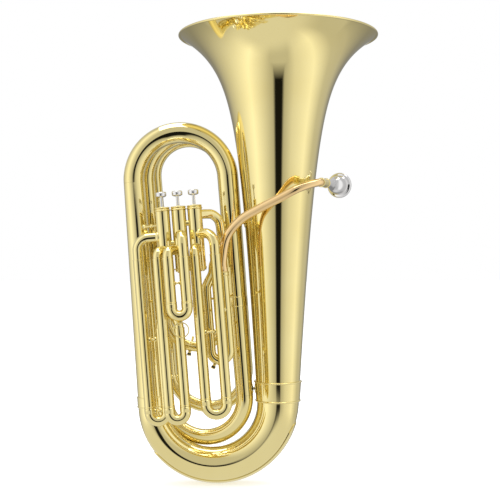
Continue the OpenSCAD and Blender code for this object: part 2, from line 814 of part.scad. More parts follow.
module leadpipe_riser() {
    p = lead_crook_legs[0];
    into = [valve_u[0], valve_v] - riser_post;
    way = concat(unit(into), [0]);
    end = [valve_u[0], valve_v, riser_port_w] - (casing_r + 0.6) * way;
    path = curve(with_ends([
        [p[0], p[1], 205], [p[0] + 2, p[1], 216], [49.6, -62, 236], [52, -57.5, 250],
        [58, -50.5, 264], [69, -41, 285], [riser_post[0], riser_post[1], 308], [67.5, -41.5, 330],
        [57, -46, 342], end - 8 * way, end
    ], [0, 0, 20], 10 * way), 4);
    color(brass) branches() swept(path, taper(lead_r, lead_r, len(path) - 1),
        [0, 0, 1], way, 16, [0.6, 0.8, 0]);
}

// ---------- braces ----------

// Outer radius of the second branch, with its lower part, at height w
function second_r(w) = w < second_joint_w
    ? mix(r_second_low, r_second_joint, (w - second_low_w) / (second_joint_w - second_low_w))
    : mix(r_second_joint, r_second_top, (w - second_joint_w) / (top_w - second_joint_w));

// A thin bar from the second branch to the bell, which is skin thicker there, with a
// rounded pad soldered flat to each
pad_r = 8;
pad_t = 1.2;
module bell_brace(w, skin) {
    start = to_row([leg_2[0], leg_2[1], w]);
    reach = 20;
    fit = 0.06;
    module branch_core(extra) {
        branches() translate([leg_2[0], leg_2[1], w - reach])
            cylinder(h = 2 * reach, r1 = second_r(w - reach) + extra, r2 = second_r(w + reach) + extra);
    }
    module bell_core(extra) {
        translate([bell_x, 0, start[2] - reach]) cylinder(h = 2 * reach,
            r1 = bell_r(start[2] - reach) + skin + extra,
            r2 = bell_r(start[2] + reach) + skin + extra);
    }
    module along(r) {
        translate(start) rotate([0, 90, 0]) cylinder(h = bell_x - start[0], r = r, $fn = 32);
    }
    difference() {
        union() {
            along(1.5);
            intersection() {
                along(pad_r);
                union() {
                    branch_core(pad_t);
                    bell_core(pad_t);
                }
            }
        }
        branch_core(fit);
        bell_core(fit);
    }
}

module body_braces() {
    color(brass) {
        bell_brace(325.4, 0);
        bell_brace(17, ferrule_skin);
        branches() {
            cross_bar([valve_u[2], valve_v], leg_1, 330, casing_r, r_first_top + 1.6, 2.5);
            cross_bar(lead_crook_legs[1], slide_1_legs[1], 170, lead_r, sleeve_r, 1.8);
            cross_bar(lead_crook_legs[0], tuning_right, 190, lead_r, sleeve_r, 2);
            cross_bar(tuning_left, leg_3, 205, sleeve_r, r_third_top + 0.6, 2);
            cross_bar(leg_3, leg_5, 300, r_third_top + 0.5, r_fifth_top + 0.5, 2);
            cross_bar(leg_6, leg_4, 370, r_sixth_top, r_fourth_top, 2);
            cross_bar(leg_4, leg_2, 120, r_fourth_low + 0.2, r_second_low + 1.2, 2);
        }
    }
}

// ---------- water keys ----------

// Each key: [crook legs, crook height, tube radius, turn along the bow]
leadpipe_key = [lead_crook_legs, lead_crook_w, lead_r, -28];
tuning_key = [[tuning_left, tuning_right], tuning_crook_w, sleeve_r, -16];
nipple_r = 3.2;
nipple_h = 4.2;
nipple_bore_r = 2;
pivot_out = 14;             // from the tube's centre line to the pivot
pivot_r = 0.9;
post_x = 3.4;
post_t = 1.6;

module at_key(key) {
    legs = key[0];
    mid = (legs[0] + legs[1]) / 2;
    translate([mid[0], mid[1], key[1]]) rotate([0, -key[3], 0])
        translate([0, 0, -norm(legs[1] - legs[0]) / 2]) children();
}

// The round of the key's own crook, to fit the saddle on
module key_crook(key) {
    bow = norm(key[0][1] - key[0][0]) / 2;
    translate([0, 0, bow]) rotate([90, 0, 0]) rotate_extrude()
        translate([bow, 0]) circle(r = key[2] + 0.03);
}

module key_drill(key) {
    at_key(key) translate([0, 0, -key[2] - nipple_h])
        cylinder(h = 2 * nipple_h, r = nipple_bore_r, $fn = 24);
}

module water_key_saddle(key) {
    color(brass) branches() at_key(key) {
        difference() {
            translate([0, 0, -key[2] - nipple_h])
                cylinder(h = 2 * nipple_h, r = nipple_r, $fn = 32);
            translate([0, 0, -key[2] - nipple_h - 1])
                cylinder(h = 3 * nipple_h, r = nipple_bore_r, $fn = 32);
            key_crook(key);
        }
        for (x = [-post_x, post_x]) difference() {
            translate([x - post_t / 2, 0, -2.2]) cube([post_t, pivot_out + 2.2, 4.4]);
            translate([x, pivot_out, 0]) rotate([0, 90, 0])
                cylinder(h = 4, r = pivot_r + 0.05, center = true, $fn = 24);
            key_crook(key);
        }
    }
}

lever_t = 1.4;
cork_h = 3.2;
function lever_z(key) = -key[2] - nipple_h - 0.05 - cork_h - lever_t;

module water_key(key) {
    z = lever_z(key);
    color(brass) branches() at_key(key) {
        translate([0, pivot_out, 0]) rotate([0, 90, 0]) {
            cylinder(h = 10, r = pivot_r, center = true, $fn = 24);
            cylinder(h = 4.6, r = 2.1, center = true, $fn = 24);
        }
        translate([-1.6, pivot_out, z]) cube([3.2, 1.6, 1 - z]);
        translate([-1.6, 0, z]) cube([3.2, pivot_out + 1.6, lever_t]);
        translate([0, 0, z]) cylinder(h = lever_t, r = 4.3, $fn = 32);
        translate([-2.2, pivot_out + 0.2, 0.5]) rotate([-14, 0, 0]) cube([4.4, lever_t, 17]);
    }
}

module water_key_cork(key) {
    color(cork_black) branches() at_key(key) translate([0, 0, lever_z(key) + lever_t])
        cylinder(h = cork_h, r = 3.9, $fn = 32);
}

module leadpipe_key_saddle() { water_key_saddle(leadpipe_key); }
module tuning_key_saddle() { water_key_saddle(tuning_key); }
module leadpipe_water_key() { water_key(leadpipe_key); }
module tuning_water_key() { water_key(tuning_key); }
module leadpipe_key_cork() { water_key_cork(leadpipe_key); }
module tuning_key_cork() { water_key_cork(tuning_key); }

// ---------- mouthpiece ----------

module mouthpiece() {
    r = mouthpiece_r;
    cup = 32;
    color(silver) translate(lead_top + 3 * [cos(mouth_turn), sin(mouth_turn), 0])
        rotate([0, 90, mouth_turn]) rotate_extrude($fn = 64) polygon([
            [4.2, 0], [receiver_bore_r - 0.06, 0],
            [receiver_bore_r - 0.06, receiver_depth - 3 + eps],
            [receiver_bore_r + 0.7, receiver_depth + 14],
            [8.2, lip_w - cup - 12], [7.6, lip_w - cup - 9], [10.5, lip_w - cup],
            [15.5, lip_w - cup + 9], [18.6, lip_w - 16], [19.4, lip_w - 9],
            [r - 0.6, lip_w - 6.5], [r, lip_w - 4.5], [r, lip_w - 2.2], [r - 1.8, lip_w - 0.5],
            [r - 3.6, lip_w], [r - 5.4, lip_w - 0.5], [r - 6.8, lip_w - 2.4],
            [r - 7.2, lip_w - 8], [r - 9.5, lip_w - 20], [r - 14, lip_w - 29],
            [4.2, lip_w - 33], [4.2, lip_w - 38]
        ]);
}

bell();
bell_rim_wire();
bell_ferrule();
bottom_bow();
bow_guard();
bow_ferrule();
first_branch();
top_bow();
second_branch();
second_branch_ferrule();
second_branch_lower();
second_bottom_bow();
third_branch();
second_top_bow();
fourth_branch();
third_bottom_bow();
fifth_branch();
third_top_bow();
sixth_branch();
tuning_sleeves();
valve_outlet();
valve_casings();
valve_top_caps();
valve_bottom_caps();
valve_knuckles();
slide_1_ports();
slide_1_sleeves();
slide_2_ports();
slide_2_sleeves();
slide_3_ports();
slide_3_sleeves();
slide_3_link_bow();
leadpipe();
mouthpiece_receiver();
leadpipe_crook();
leadpipe_riser();
body_braces();
leadpipe_key_saddle();
piston(0);  // piston_1
piston(1);  // piston_2
piston(2);  // piston_3
finger_button(0);  // finger_button_1
finger_button(1);  // finger_button_2
finger_button(2);  // finger_button_3
valve_spring(0);  // valve_spring_1
valve_spring(1);  // valve_spring_2
valve_spring(2);  // valve_spring_3
slide_1();
slide_2();
slide_2_pull_ring();
slide_3_outer();
slide_3_inner();
tuning_slide();
tuning_key_saddle();
leadpipe_water_key();
tuning_water_key();
leadpipe_key_cork();
tuning_key_cork();
mouthpiece();
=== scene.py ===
"""Looks of a three-valve tuba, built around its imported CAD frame.

Lengths in this script are millimetres in the row frame until a mesh is made. The branches
and valves lean, so their places are [u, v, w] in the branches' own frame: u to the right,
v to the back, w up along the branches.
"""

import json
import math

import bpy
import numpy as np
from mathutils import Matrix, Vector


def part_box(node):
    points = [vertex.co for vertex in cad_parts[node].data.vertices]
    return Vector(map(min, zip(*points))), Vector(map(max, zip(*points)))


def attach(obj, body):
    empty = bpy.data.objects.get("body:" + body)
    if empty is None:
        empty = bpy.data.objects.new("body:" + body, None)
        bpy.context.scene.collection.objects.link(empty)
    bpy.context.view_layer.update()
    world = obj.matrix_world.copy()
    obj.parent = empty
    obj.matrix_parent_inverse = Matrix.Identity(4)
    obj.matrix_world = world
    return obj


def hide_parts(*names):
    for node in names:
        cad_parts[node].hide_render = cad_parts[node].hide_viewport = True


MM = 0.001
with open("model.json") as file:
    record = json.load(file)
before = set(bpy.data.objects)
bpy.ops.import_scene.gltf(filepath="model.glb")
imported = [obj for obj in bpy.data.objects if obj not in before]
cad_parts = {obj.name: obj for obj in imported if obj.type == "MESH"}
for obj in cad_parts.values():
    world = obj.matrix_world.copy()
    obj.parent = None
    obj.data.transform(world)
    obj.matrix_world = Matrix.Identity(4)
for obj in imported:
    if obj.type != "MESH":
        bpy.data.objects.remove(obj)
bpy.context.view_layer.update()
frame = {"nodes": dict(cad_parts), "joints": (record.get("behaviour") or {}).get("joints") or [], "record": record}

# ---------- driving places, from the frame ----------

low, high = (np.array(c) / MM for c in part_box("bell"))
BELL_X = (low[0] + high[0]) / 2
BELL_LOW = low[2]
pull_way = next(j["axis"] for j in frame["joints"] if j["name"] == "first_slide_pull")
LEAN = math.atan2(pull_way[0], -pull_way[2])
BRANCH_GAP = 150
BELL_IN_FERRULE = 21
JOINT_Z = BELL_LOW - BELL_IN_FERRULE
BRANCH_ORIGIN = np.array([BELL_X - BRANCH_GAP, 0, JOINT_Z])
U = np.array([math.cos(LEAN), 0, math.sin(LEAN)])
V = np.array([0.0, 1.0, 0.0])
W = np.array([-math.sin(LEAN), 0, math.cos(LEAN)])
RIM_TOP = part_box("bell_rim_wire")[1][2] / MM

SIDES = 56
WALL = 0.9
SLEEVE_WALL = 0.7
COLLAR_SKIN = 0.06
SHARP = math.radians(38)


def at(u, v, w):
    """A place in the branches' frame, as a row-frame point."""
    return BRANCH_ORIGIN + u * U + v * V + w * W


def unit(a):
    a = np.asarray(a, float)
    return a / np.linalg.norm(a)


def mix(a, b, t):
    return a + (b - a) * t


def smooth(t):
    return t * t * (3 - 2 * t)


# ---------- materials ----------


def link(tree, a, out, b, inp):
    tree.links.new(a.outputs[out], b.inputs[inp])


def polished_metal(name, colour, deep, roughness, haze=0.03, coat=0.35):
    """A polished metal under lacquer or plate: faint clouds of tone, haze and fine wiping marks."""
    m = bpy.data.materials.new(name)
    m.use_nodes = True
    t = m.node_tree
    shader = t.nodes["Principled BSDF"]
    shader.inputs["Metallic"].default_value = 1.0
    shader.inputs["Coat Weight"].default_value = coat
    shader.inputs["Coat Roughness"].default_value = 0.02
    place = t.nodes.new("ShaderNodeTexCoord")
    cloud = t.nodes.new("ShaderNodeTexNoise")
    cloud.inputs["Scale"].default_value = 9.0
    cloud.inputs["Detail"].default_value = 3.0
    link(t, place, "Object", cloud, "Vector")
    tone = t.nodes.new("ShaderNodeValToRGB")
    tone.color_ramp.elements[0].position = 0.30
    tone.color_ramp.elements[0].color = (*deep, 1)
    tone.color_ramp.elements[1].position = 0.62
    tone.color_ramp.elements[1].color = (*colour, 1)
    link(t, cloud, "Fac", tone, "Fac")
    link(t, tone, "Color", shader, "Base Color")
    stretch = t.nodes.new("ShaderNodeMapping")
    stretch.inputs["Scale"].default_value = (260, 260, 2400)
    link(t, place, "Object", stretch, "Vector")
    marks = t.nodes.new("ShaderNodeTexNoise")
    marks.inputs["Scale"].default_value = 1.0
    marks.inputs["Detail"].default_value = 5.0
    link(t, stretch, "Vector", marks, "Vector")
    grade = t.nodes.new("ShaderNodeMapRange")
    grade.inputs["From Min"].default_value = 0.35
    grade.inputs["From Max"].default_value = 0.75
    grade.inputs["To Min"].default_value = roughness
    grade.inputs["To Max"].default_value = roughness + haze
    link(t, marks, "Fac", grade, "Value")
    link(t, grade, "Result", shader, "Roughness")
    bump = t.nodes.new("ShaderNodeBump")
    bump.inputs["Strength"].default_value = 0.012
    bump.inputs["Distance"].default_value = 0.00005
    link(t, marks, "Fac", bump, "Height")
    link(t, bump, "Normal", shader, "Normal")
    return m


def rough_material(name, colour, second, roughness, scale, depth):
    """A matt material with grain: cork, rubber or drawn wire."""
    m = bpy.data.materials.new(name)
    m.use_nodes = True
    t = m.node_tree
    shader = t.nodes["Principled BSDF"]
    shader.inputs["Roughness"].default_value = roughness
    place = t.nodes.new("ShaderNodeTexCoord")
    grain = t.nodes.new("ShaderNodeTexVoronoi")
    grain.inputs["Scale"].default_value = scale
    link(t, place, "Object", grain, "Vector")
    tone = t.nodes.new("ShaderNodeValToRGB")
    tone.color_ramp.elements[0].color = (*colour, 1)
    tone.color_ramp.elements[1].color = (*second, 1)
    link(t, grain, "Distance", tone, "Fac")
    link(t, tone, "Color", shader, "Base Color")
    bump = t.nodes.new("ShaderNodeBump")
    bump.inputs["Strength"].default_value = 0.4
    bump.inputs["Distance"].default_value = depth
    link(t, grain, "Distance", bump, "Height")
    link(t, bump, "Normal", shader, "Normal")
    return m


BRASS = polished_metal("lacquered_brass", (0.91, 0.78, 0.36), (0.88, 0.74, 0.32), 0.035)
ROSE = polished_metal("rose_brass", (0.90, 0.66, 0.33), (0.86, 0.59, 0.27), 0.04)
SILVER = polished_metal("silver_plate", (0.85, 0.84, 0.83), (0.77, 0.76, 0.75), 0.05, coat=0.0)
STEEL = polished_metal("spring_steel", (0.62, 0.62, 0.63), (0.5, 0.5, 0.52), 0.2, coat=0.0)
CORK = rough_material("black_cork", (0.012, 0.012, 0.012), (0.05, 0.045, 0.04), 0.8, 900, 0.0004)
FINISH = {
    "lacquered_brass": BRASS,
    "rose_brass": ROSE,
    "silver_plate": SILVER,
    "spring_steel": STEEL,
    "black_cork": CORK,
}
SLOT_OF = {s["node"]: s["material_slot"] for s in frame["record"]["subparts"]}
BODY_OF = {n: b for b, ns in frame["record"]["behaviour"]["bodies"].items() for n in ns}

for name, node in frame["nodes"].items():
    node.data.materials.clear()
    node.data.materials.append(FINISH[SLOT_OF[name]])

# ---------- mesh builders ----------


def outward(points, faces):
    """The faces of a closed shell, all turned to look outwards."""
    pts = np.asarray(points, float)
    a = np.array([f[0] for f in faces for _ in f[2:]])
    b = np.array([x for f in faces for x in f[1:-1]])
    c = np.array([x for f in faces for x in f[2:]])
    volume = np.einsum("ij,ij->", pts[a], np.cross(pts[b], pts[c]))
    return faces if volume > 0 else [tuple(f)[::-1] for f in faces]


def make_piece(name, node, points, faces, sharp=SHARP, slot=None):
    """A mesh piece that stands for a CAD node, rides on its body and takes its finish."""
    faces = outward(points, faces)
    mesh = bpy.data.meshes.new(name)
    mesh.from_pydata([tuple(float(c) * MM for c in p) for p in points], [], faces)
    mesh.validate()
    piece = bpy.data.objects.new(name, mesh)
    bpy.context.scene.collection.objects.link(piece)
    mesh.shade_smooth()
    mesh.set_sharp_from_angle(angle=sharp)
    slot = slot or SLOT_OF[node]
    mesh.materials.append(FINISH[slot])
    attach(piece, BODY_OF[node])
    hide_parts(node)
    return piece


def rings_along(path, radius):
    """Points, tangents and outer radii where a swept tube gets a ring. radius is one number, or
    [(distance along the path, radius), ...]; a ring is put at each of those distances too."""
    path = np.array(path, float)
    steps = np.linalg.norm(np.diff(path, axis=0), axis=1)
    keep = np.concatenate([[True], steps > 1e-6])
    path = path[keep]
    s = np.concatenate([[0], np.cumsum(np.linalg.norm(np.diff(path, axis=0), axis=1))])
    slope = np.gradient(path, s, axis=0)
    slope[0], slope[-1] = path[1] - path[0], path[-1] - path[-2]
    if np.isscalar(radius):
        radius = [(0, radius), (s[-1], radius)]
    marks = [(float(d), float(r)) for d, r in radius]
    ds = [m[0] for m in marks]
    rings = [(d, r) for d, r in marks]
    for d in s:
        if min(abs(d - x) for x in ds) > 0.3 and ds[0] < d < ds[-1]:
            rings.append((float(d), float(np.interp(d, ds, [m[1] for m in marks]))))
    order = sorted(range(len(rings)), key=lambda i: (rings[i][0], i))
    rings = [rings[i] for i in order]
    centres = [np.array([np.interp(d, s, path[:, k]) for k in range(3)]) for d, _ in rings]
    ways = [unit([np.interp(d, s, slope[:, k]) for k in range(3)]) for d, _ in rings]
    return centres, ways, [r for _, r in rings]


def ring_frames(ways, hint=(0.0, 1.0, 0.0)):
    """Two directions across each tangent, carried along without twist."""
    across = np.cross(ways[0], hint)
    if np.linalg.norm(across) < 1e-3:
        across = np.cross(ways[0], (1.0, 0.0, 0.0))
    across = unit(across)
    out = []
    for t in ways:
        across = unit(across - t * np.dot(across, t))
        out.append((across, np.cross(t, across)))
    return out


def skin(centres, ways, radii, sides):
    """Rings of points around each centre."""
    turn = np.linspace(0, 2 * math.pi, sides, endpoint=False)
    rows = []
    for c, (a, b), r in zip(centres, ring_frames(ways), radii):
        rows.append(c + r * (np.outer(np.cos(turn), a) + np.outer(np.sin(turn), b)))
    return np.array(rows)


def strip_faces(first, rows, sides, flip=False):
    faces = []
    for i in range(rows - 1):
        for k in range(sides):
            a, b = first + i * sides + k, first + i * sides + (k + 1) % sides
            quad = (a, b, b + sides, a + sides)
            faces.append(quad[::-1] if flip else quad)
    return faces


def saddle_ends(rows, centres, ways, saddles):
    """Slides an end ring's points along the tube until they lie on the round body that the tube meets.
    saddles: {ring index: (a point on the body's axis, the axis, its radius or a function of a
    point that gives the radius there)}"""
    for i, (origin, axis, radius) in saddles.items():
        way = ways[i]
        flat = way - axis * np.dot(way, axis)
        for k, p in enumerate(rows[i]):
            out = p - origin
            out = out - axis * np.dot(out, axis)
            near = radius(p) if callable(radius) else radius
            a, b, c = flat @ flat, 2 * out @ flat, out @ out - near**2
            root = b * b - 4 * a * c
            if root <= 0:
                continue
            t = min(((-b + s * math.sqrt(root)) / (2 * a) for s in (-1, 1)), key=abs)
            rows[i][k] = p + way * t


def sweep(name, node, path, radius, wall=WALL, sides=SIDES, saddles=None, solid=False):
    """A tube (or a solid rod) along a path."""
    centres, ways, radii = rings_along(path, radius)
    outer = skin(centres, ways, radii, sides)
    count = len(centres)
    saddles = {i % count: s for i, s in (saddles or {}).items()}
    saddle_ends(outer, centres, ways, saddles)
    points = outer.reshape(-1, 3)
    faces = strip_faces(0, count, sides)
    if solid:
        faces.append(tuple(range(sides))[::-1])
        faces.append(tuple(range((count - 1) * sides, count * sides)))
        return make_piece(name, node, points, faces)
    narrow = min(radii)
    ends = [0, count - 1]
    bore = [min(radii[i], narrow + 0.6) - wall if i in ends else radii[i] - wall for i in range(count)]
    inner = skin(centres, ways, bore, sides)
    saddle_ends(inner, centres, ways, saddles)
    points = np.concatenate([points, inner.reshape(-1, 3)])
    start = count * sides
    faces += strip_faces(start, count, sides, flip=True)
    for k in range(sides):
        j = (k + 1) % sides
        last = (count - 1) * sides
        faces.append((k, start + k, start + j, j))
        faces.append((last + k, last + j, start + last + j, start + last + k))
    return make_piece(name, node, points, faces)


def lathe(name, node, origin, axis, outline, sides=SIDES, knurl=None):
    """A turned piece. outline: [(radius, height), ...], open between its ends on the axis or closed
    if first and last are the same. knurl: (from height, to height, teeth, depth)."""
    axis = unit(axis)
    side = unit(np.cross(axis, (0.0, 1.0, 0.0)))
    other = np.cross(axis, side)
    closed = outline[0] == outline[-1]
    outline = outline[:-1] if closed else outline
    points, rows = [], []
    for r, h in outline:
        if r < 1e-6:
            rows.append([len(points)])
            points.append(origin + axis * h)
            continue
        row = []
        for k in range(sides):
            a = 2 * math.pi * k / sides
            rr = r
            if knurl and knurl[0] <= h <= knurl[1]:
                rr -= knurl[3] * (0.5 + 0.5 * math.cos(a * knurl[2]))
            row.append(len(points))
            points.append(origin + axis * h + rr * (math.cos(a) * side + math.sin(a) * other))
        rows.append(row)
    faces = []
    pairs = list(zip(rows, rows[1:])) + ([(rows[-1], rows[0])] if closed else [])
    for a, b in pairs:
        for k in range(sides):
            j = (k + 1) % sides
            if len(a) == 1:
                faces.append((a[0], b[j], b[k]))
            elif len(b) == 1:
                faces.append((a[k], a[j], b[0]))
            else:
                faces.append((a[k], a[j], b[j], b[k]))
    return make_piece(name, node, points, faces)


def bead(distance, radius, half, proud, n=8):
    """A rounded bead on a tube's radius, centred at a distance along it."""
    return [
        (distance - half * math.cos(math.pi * i / n), radius + proud * math.sin(math.pi * i / n))
        for i in range(n + 1)
    ]


def turned_bead(height, radius, half, proud):
    """The same bead for a lathe's outline: (radius, height) places from low to high."""
    return [(r, h) for h, r in bead(height, radius, half, proud)]


# ---------- paths ----------


def bend(u, w, r, a0, a1, v0, v1, n=56):
    """An arc in the u-w plane whose v moves smoothly from v0 to v1."""
    out = []
    for i in range(n + 1):
        t = i / n
        a = math.radians(mix(a0, a1, t))
        out.append(at(u + r * math.cos(a), mix(v0, v1, smooth(t)), w + r * math.sin(a)))
    return out


def leg(uv, w0, w1, n=2):
    return [at(uv[0], uv[1], mix(w0, w1, i / n)) for i in range(n + 1)]


def arch(start, end, w, over, n=56):
    """A half-round bow from one leg to another, over or under height w."""
    r = (end[0] - start[0]) / 2
    mid = (start[0] + end[0]) / 2
    a0 = 180 if r > 0 else 0
    sign = -1 if (r > 0) == over else 1
    return bend(mid, w, abs(r), a0, a0 + 180 * sign, start[1], end[1], n)


def u_path(legs, w, top_a, top_b, up=False, n=44):
    """Down one leg, round a half circle and up the other."""
    a, b = (np.array(p, float) for p in legs)
    mid, across = (a + b) / 2, (b - a)
    r = np.linalg.norm(across) / 2
    across = unit(across)
    sign = 1 if up else -1
    out = [at(*a, top_a)]
    for i in range(n + 1):
        turn = math.pi * i / n
        p = mid - across * r * math.cos(turn)
        out.append(at(p[0], p[1], w + sign * r * math.sin(turn)))
    out.append(at(*b, top_b))
    return out


def curve(points, before, after, n=14):
    """A smooth curve through points; before and after set its ends' directions."""
    pts = [np.array(p, float) for p in points]
    pts = [pts[0] - before] + pts + [pts[-1] + after]
    out = []
    for k in range(1, len(pts) - 2):
        a, b, c, d = pts[k - 1 : k + 3]
        for i in range(n):
            t = i / n
            out.append(
                0.5 * (2 * b + (c - a) * t + (2 * a - 5 * b + 4 * c - d) * t**2
                       + (3 * b - a - 3 * c + d) * t**3)
            )
    out.append(pts[-2])
    return out


def length(path):
    return float(np.linalg.norm(np.diff(np.array(path), axis=0), axis=1).sum())


# ---------- bell ----------

BELL_TOP = RIM_TOP + 0.4
BELL_LIP = 2.4
THROAT_R = 38.8
BELL_TAPER = 0.05
FLARE_LONG, FLARE_SHORT, LONG_SHARE = 190, 48, 0.4
RIM_R = 186.5
flare_sum = RIM_R - THROAT_R - BELL_TAPER * (BELL_TOP - BELL_LOW)


def bell_r(z):
    return (
        THROAT_R
        + BELL_TAPER * (z - BELL_LOW)
        + LONG_SHARE * flare_sum * math.exp((z - BELL_TOP) / FLARE_LONG)
        + (1 - LONG_SHARE) * flare_sum * math.exp((z - BELL_TOP) / FLARE_SHORT)
    )


bell_axis = np.array([BELL_X, 0.0, 0.0])
UP = np.array([0.0, 0.0, 1.0])
STEPS = 90
heights = [
    mix(BELL_LOW, BELL_TOP - BELL_LIP, 1 - (1 - i / STEPS) ** 1.8) for i in range(STEPS + 1)
]
outline = [(bell_r(z) - WALL, z) for z in reversed(heights)] + [(bell_r(z), z) for z in heights]
lathe("bell_shell", "bell", bell_axis, UP, outline + [outline[0]], sides=160)

edge = bell_r(BELL_TOP - BELL_LIP)
BEAD_R = 2.2
wire = [
    (edge + 0.3 + BEAD_R * math.cos(math.radians(a)), BELL_TOP - BEAD_R + BEAD_R * math.sin(math.radians(a)))
    for a in range(-96, 130, 12)
]
wire = [(r, min(h, BELL_TOP - 0.4)) for r, h in wire] + [(edge - 1.6, BELL_TOP - 2.3)]
lathe("rim_wire", "bell_rim_wire", bell_axis, UP, wire + [wire[0]], sides=160)

z0, z1 = JOINT_Z + 1, JOINT_Z + 39
band = (
    [(bell_r(z0) + 0.05, z0)]
    + turned_bead(z0 + 1.6, bell_r(z0) + 1.9, 1.6, 1.6)
    + turned_bead(z1 - 1.6, bell_r(z1) + 1.9, 1.6, 1.6)
    + [(bell_r(z1) + 0.05, z1)]
)
lathe("bell_band", "bell_ferrule", bell_axis, UP, band + [band[0]], sides=128)

# ---------- bottom bow and its guard ----------

BOW_R = BELL_X
BOW_MID_R, BOW_END_R = 33, 25
BOW_TURN = math.pi - LEAN


def bow_point(t):
    return np.array([BOW_R * math.cos(-BOW_TURN * t), 0, JOINT_Z + BOW_R * math.sin(-BOW_TURN * t)])


def bow_radius(t):
    if t < 0.5:
        return mix(bell_r(JOINT_Z), BOW_MID_R, t / 0.5)
    return mix(BOW_MID_R, BOW_END_R, (t - 0.5) / 0.5)


RINGS = 110
bow_path = [np.array([BELL_X, 0, BELL_LOW])] + [bow_point(i / RINGS) for i in range(RINGS + 1)]
arc_of = [0, BELL_IN_FERRULE] + [
    BELL_IN_FERRULE + BOW_R * BOW_TURN * (i / RINGS) for i in range(1, RINGS + 1)
]
scale_s = length(bow_path) / arc_of[-1]
bow_profile = [(0, bell_r(BELL_LOW))] + [
    (arc_of[i + 1] * scale_s, bow_radius(i / RINGS)) for i in range(RINGS + 1)
]
sweep("bottom_bow_tube", "bottom_bow", bow_path, bow_profile, sides=96)

GUARD_FROM, GUARD_TO = 0.08, 0.80
GUARD_HALF, GUARD_T, GUARD_LIFT = 38, 1.1, 0.3
G_ROWS, G_COLS = 90, 32
guard_points = []
for layer in (GUARD_LIFT + GUARD_T, GUARD_LIFT - 0.6):
    for i in range(G_ROWS + 1):
        s = i / G_ROWS
        t = mix(GUARD_FROM, GUARD_TO, s)
        spoke = unit(bow_point(t) - np.array([0, 0, JOINT_Z]))
        # the plate narrows to a rounded tongue at each end
        taper = math.sqrt(max(0.0, 1 - (abs(2 * s - 1)) ** 14))
        half = GUARD_HALF * (0.35 + 0.65 * taper)
        for k in range(G_COLS + 1):
            a = math.radians(mix(-half, half, k / G_COLS))
            eased = layer if layer < GUARD_LIFT or 0 < k < G_COLS and 0 < i < G_ROWS else layer - 0.3
            r = bow_radius(t) + eased
            guard_points.append(bow_point(t) + r * (math.cos(a) * spoke + math.sin(a) * V))
cols = G_COLS + 1
under = (G_ROWS + 1) * cols
faces = []
for i in range(G_ROWS):
    for k in range(G_COLS):
        a = i * cols + k
        faces.append((a, a + cols, a + cols + 1, a + 1))
        faces.append((under + a, under + a + 1, under + a + cols + 1, under + a + cols))
for i in range(G_ROWS):
    a = i * cols
    faces.append((a, under + a, under + a + cols, a + cols))
    b = a + G_COLS
    faces.append((b, b + cols, under + b + cols, under + b))
for k in range(G_COLS):
    faces.append((k, k + 1, under + k + 1, under + k))
    b = G_ROWS * cols + k
    faces.append((b, under + b, under + b + 1, b + 1))
make_piece("bow_guard_plate", "bow_guard", guard_points, faces)

# ---------- branches and bows ----------

LEG_1, LEG_2, LEG_3 = (-85, 0), (88.6, 0), (-63, 36)
LEG_4, LEG_5, LEG_6 = (96, 38), (-49, 64), (78, 68)
TUNE_L, TUNE_R = (-45, 18), (65, 18)
TOP, TOP_2, TOP_3 = 414, 417, 426
LOW_2, LOW_3 = 5, 53
R_TOP_1, R_TOP_2, R_JOINT_2, R_LOW_2 = 19.5, 18.8, 17.6, 15.9
R_LOW_3, R_TOP_3, R_TOP_4, R_LOW_4 = 14, 13, 12.6, 11.8
R_LOW_5, R_TOP_5, R_TOP_6, R_LOW_6 = 11, 10.2, 9.9, 9.5
FERRULE_2 = (170, 189)
bow_end = bow_point(1)
BOW_END_W = float((bow_end - BRANCH_ORIGIN) @ W)


def straight(name, node, uv, w0, w1, r0, r1, sides=SIDES, bands=()):
    """A straight tapered tube with raised bands: [(low w, high w, proud), ...]."""
    marks = [(0, r0)]
    for lo, hi, proud in bands:
        rl, rh = (mix(r0, r1, (x - w0) / (w1 - w0)) for x in (lo, hi))
        marks += [(lo - w0, rl), (lo - w0 + 0.02, rl + proud - 0.3), (lo - w0 + 0.5, rl + proud),
                  (hi - w0 - 0.5, rh + proud), (hi - w0 - 0.02, rh + proud - 0.3), (hi - w0, rh)]
    marks.append((w1 - w0, r1))
    return sweep(name, node, leg(uv, w0, w1, 8), marks, sides=sides)


def collar(name, node, uv, w0, w1, r0, r1, thick, proud):
    """A sleeve around a joint with a rounded bead at each end."""
    marks = [(0, r0 + 0.05), (0.02, r0 + thick)]
    marks += bead(proud + 0.3, r0 + thick, proud, proud)
    marks += bead(w1 - w0 - proud - 0.3, r1 + thick, proud, proud)
    marks += [(w1 - w0 - 0.02, r1 + thick), (w1 - w0, r1 + 0.05)]
    return sweep(name, node, leg(uv, w0, w1, 4), marks, wall=COLLAR_SKIN)


straight("first_branch_tube", "first_branch", LEG_1, BOW_END_W, TOP, BOW_END_R, R_TOP_1, 72)
collar("first_branch_collar", "bow_ferrule", LEG_1, BOW_END_W, BOW_END_W + 20,
       BOW_END_R, BOW_END_R - 0.2, 1.2, 1.0)
sweep("top_bow_tube", "top_bow", arch(LEG_1, LEG_2, TOP, True, 88),
      [(0, R_TOP_1), (math.pi * (LEG_2[0] - LEG_1[0]) / 2, R_TOP_2)], sides=72)
joint_w = sum(FERRULE_2) / 2
straight("second_branch_tube", "second_branch", LEG_2, joint_w, TOP, R_JOINT_2, R_TOP_2, 72)
straight("second_branch_lower_tube", "second_branch_lower", LEG_2, LOW_2, joint_w,
         R_LOW_2, R_JOINT_2, 64)
collar("second_branch_collar", "second_branch_ferrule", LEG_2, *FERRULE_2,
       R_JOINT_2, R_JOINT_2, 0.8, 0.7)


